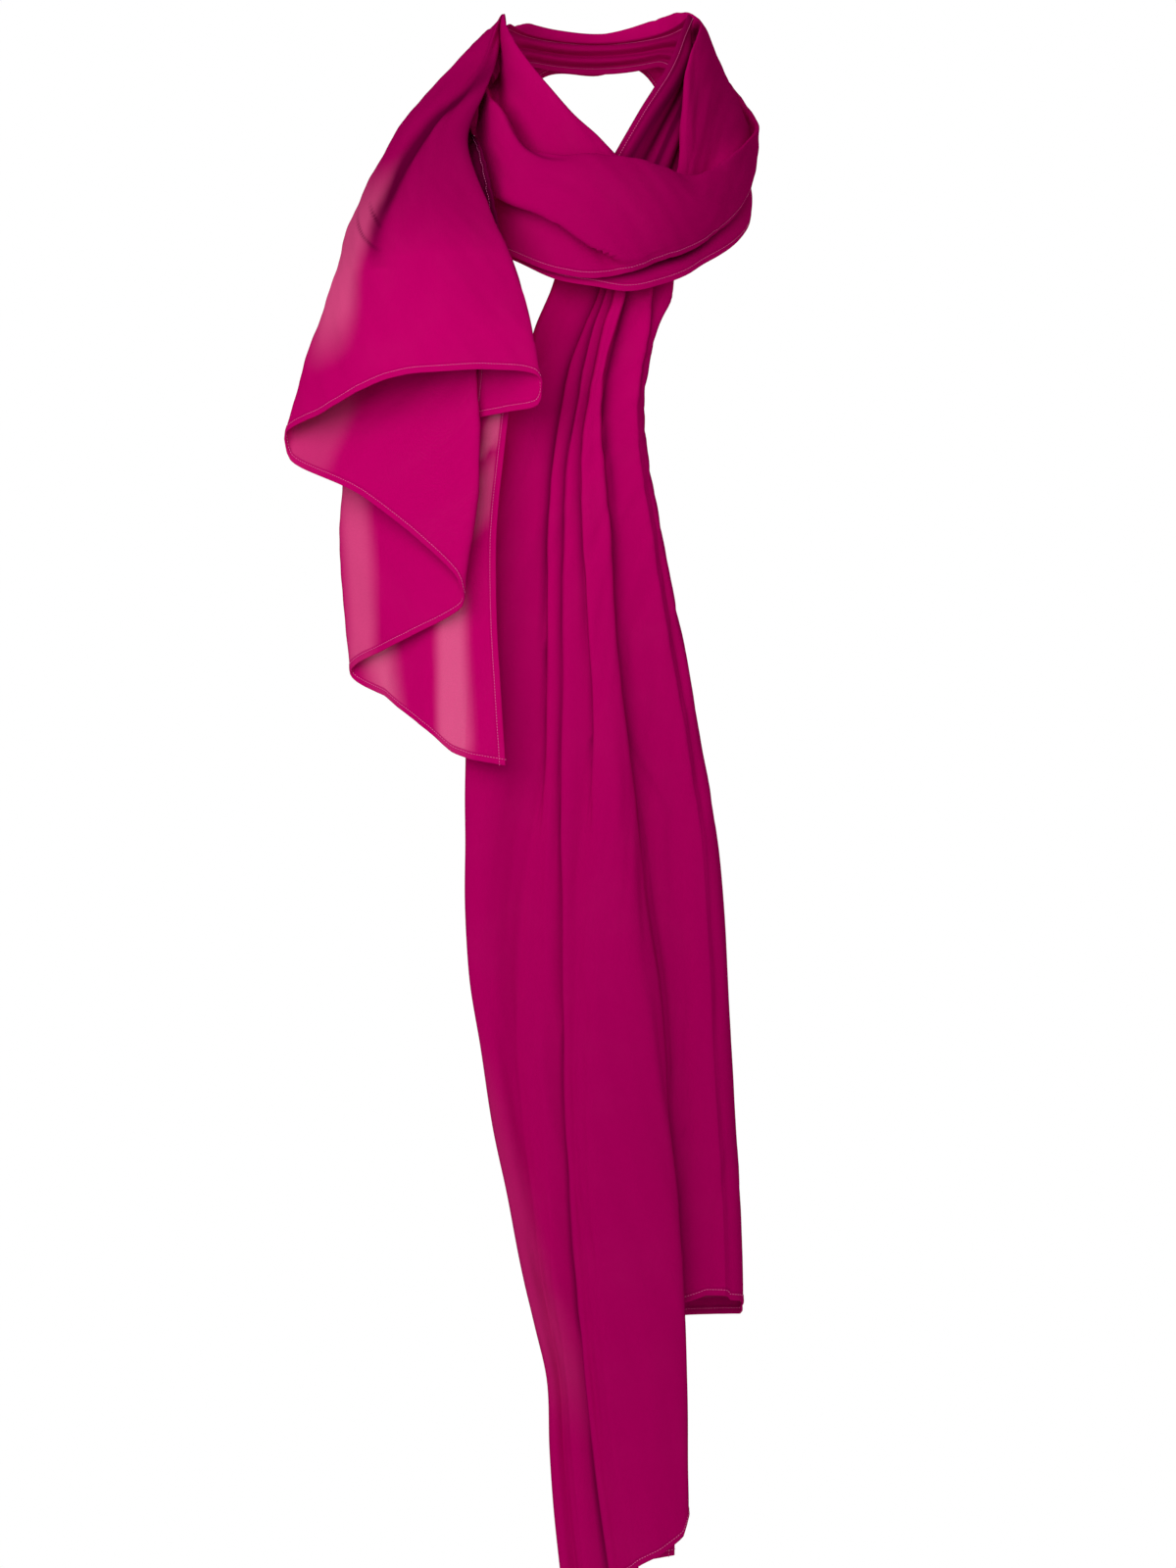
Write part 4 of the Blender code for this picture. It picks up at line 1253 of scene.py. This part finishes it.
def wound_runs():
    """The three runs of cloth at full detail, worked out once for all the pieces."""
    if not RUNS:
        RUNS["inner_pass"] = finish_grid("inner_pass", inner_pass_cloth(), False, WOUND_WAVES)
        RUNS["outer_pass"] = finish_grid("outer_pass", wound_cloth(), True, WOUND_WAVES)
        RUNS["long_fall"] = finish_grid("long_fall", long_fall_cloth(), True, FALL_WAVES)
    return RUNS


def hang(name, run, nodes, hems, look):
    """One piece of cloth with its stitches."""
    lines = hem_paths(run, *hems)
    thing = shell(name, run)
    put_on(thing, once("fuchsia_georgette", georgette, look), *nodes)
    sewing = sew(name.replace("cloth", "stitches"), lines, look)
    flat_size(run)


class STOLE_OT_long_fall(bpy.types.Operator):
    """Hang the long end down the front in its pleats"""

    bl_idname = "stole.long_fall"
    bl_label = "Long Fall"

    def execute(self, context):
        hang("long_fall_cloth", wound_runs()["long_fall"], ["long_fall"],
             (0, True), context.scene.stole_look)
        return {"FINISHED"}


class STOLE_OT_inner_pass(bpy.types.Operator):
    """Take the cloth up beside the neck and behind it"""

    bl_idname = "stole.inner_pass"
    bl_label = "Inner Pass"

    def execute(self, context):
        hang("inner_pass_cloth", wound_runs()["inner_pass"], ["neck_rise", "nape_inner"],
             (0, False), context.scene.stole_look)
        return {"FINISHED"}


class STOLE_OT_loop_and_shoulder(bpy.types.Operator):
    """Bring the loop across the front, round the nape and down over the shoulder"""

    bl_idname = "stole.loop_and_shoulder"
    bl_label = "Loop and Shoulder Fall"

    def execute(self, context):
        look = context.scene.stole_look
        run = wound_runs()["outer_pass"]
        seam = LOOP_ROWS + JOIN_ROWS // 2
        hang("loop_cloth", part_of(run, slice(0, seam + 1)), ["front_loop", "nape_outer"],
             (0, False), look)
        hang("shoulder_fall_cloth", part_of(run, slice(seam, None)), ["shoulder_fall"],
             (HIDDEN_HEM_ROWS, True), look)
        return {"FINISHED"}


class STOLE_OT_stage(bpy.types.Operator):
    """Set up the floor, the light and the camera"""

    bl_idname = "stole.stage"
    bl_label = "Stage"

    def execute(self, context):
        stage = context.scene.stole_stage
        floor_disc(stage)
        surround(stage)
        for name, (place, size) in LAMPS.items():
            soft_light(name + "_light", place, getattr(stage, name + "_power"), size)
        camera(stage)
        return {"FINISHED"}


# The stage, in metres: each lamp's place and size, what the lamps point at, and the sizes of the rest.
LAMPS = {
    "key": ((-0.72, -1.15, 0.3), 1.5),
    "fill": ((0.15, -2.2, -0.1), 1.4),
    "back": ((0.5, 1.3, 0.35), 1.2),
}
LAMP_AIM = (0.0, 0.0, -0.3)
FLOOR_RADIUS = 1.5
FLOOR_SIDES = 96
DOME_RADIUS = 25.0
CAMERA_X, CAMERA_Z = -0.0049, -0.481
SENSOR = 36.0              # millimetres of sensor from side to side
SHOWN, SHOWN_FROM = 1.04, 3.34   # the camera takes in so much at such a distance


def floor_disc(stage):
    """A pale round floor."""
    angles = np.linspace(0, 2 * math.pi, FLOOR_SIDES + 1)[:-1][::-1]
    rim = [(FLOOR_RADIUS * math.sin(a), FLOOR_RADIUS * math.cos(a), stage.floor_height) for a in angles]
    mesh = bpy.data.meshes.new("floor")
    mesh.from_pydata(rim, [], [tuple(range(len(rim)))])
    pale = Paint("pale_floor")
    pale.set(Base_Color=(0.6, 0.6, 0.6, 1.0), Roughness=0.9, Specular_IOR_Level=0.0)
    pale.set(Emission_Color=(1.0, 1.0, 1.0, 1.0), Emission_Strength=0.55)
    mesh.materials.append(pale.material)
    add("floor", mesh)


def surround(stage):
    """A dim even sky for the light, and a white dome round all for the camera alone."""
    world = bpy.data.worlds.new("pale_surround")
    world.use_nodes = True
    back = world.node_tree.nodes["Background"]
    back.inputs["Color"].default_value = (1.0, 1.0, 1.0, 1.0)
    back.inputs["Strength"].default_value = stage.sky
    bpy.context.scene.world = world
    bpy.context.scene.view_settings.view_transform = "Standard"
    mesh = bpy.data.meshes.new("dome")
    form = bmesh.new()
    bmesh.ops.create_icosphere(form, subdivisions=4, radius=DOME_RADIUS)
    bmesh.ops.reverse_faces(form, faces=form.faces)
    form.to_mesh(mesh)
    form.free()
    white = Paint("white_surround")
    white.set(Base_Color=(0.0, 0.0, 0.0, 1.0), Specular_IOR_Level=0.0, Emission_Color=(1.0, 1.0, 1.0, 1.0))
    white.set(Emission_Strength=1.0)
    mesh.materials.append(white.material)
    dome = add("dome", mesh)
    for ray in ("diffuse", "glossy", "transmission", "volume_scatter", "shadow"):
        setattr(dome, "visible_" + ray, False)


def soft_light(name, place, power, size):
    """A round soft lamp that points at the stole."""
    lamp = bpy.data.lights.new(name, "AREA")
    lamp.shape, lamp.size, lamp.energy = "DISK", size, power
    thing = add(name, lamp)
    thing.location = place
    aim = np.array(LAMP_AIM) - np.array(place)
    tilt = math.atan2(math.hypot(aim[0], aim[1]), -aim[2])
    thing.rotation_euler = (tilt, 0.0, math.atan2(aim[1], aim[0]) - math.pi / 2)


def camera(stage):
    """The camera that sees the stole as the photograph does."""
    lens = bpy.data.cameras.new("camera")
    lens.sensor_width = SENSOR
    lens.lens = SENSOR * SHOWN_FROM / SHOWN
    thing = add("camera", lens)
    thing.location = (CAMERA_X, -stage.camera_distance, CAMERA_Z)
    thing.rotation_euler = (math.pi / 2, 0.0, 0.0)
    bpy.context.scene.camera = thing


class STOLE_PT_panel(bpy.types.Panel):
    """Lists the steps that build the stole"""

    bl_idname = "STOLE_PT_panel"
    bl_label = "Wound Stole"
    bl_space_type = "VIEW_3D"
    bl_region_type = "UI"
    bl_category = "Stole"

    def draw(self, context):
        column = self.layout.column()
        for group in (context.scene.stole_look, context.scene.stole_stage):
            for name in group.__annotations__:
                column.prop(group, name)
        for step in STEPS:
            column.operator(step.bl_idname)


STEPS = (STOLE_OT_inner_pass, STOLE_OT_loop_and_shoulder, STOLE_OT_long_fall, STOLE_OT_stage)
CLASSES = (StoleLook, StoleStage, *STEPS, STOLE_PT_panel)


def register():
    for cls in CLASSES:
        bpy.utils.register_class(cls)
    bpy.types.Scene.stole_look = PointerProperty(type=StoleLook)
    bpy.types.Scene.stole_stage = PointerProperty(type=StoleStage)


def unregister():
    del bpy.types.Scene.stole_stage
    del bpy.types.Scene.stole_look
    for cls in reversed(CLASSES):
        bpy.utils.unregister_class(cls)


def main():
    register()
    bpy.ops.stole.inner_pass()
    bpy.ops.stole.loop_and_shoulder()
    bpy.ops.stole.long_fall()
    bpy.ops.stole.stage()


if __name__ == "__main__":
    main()
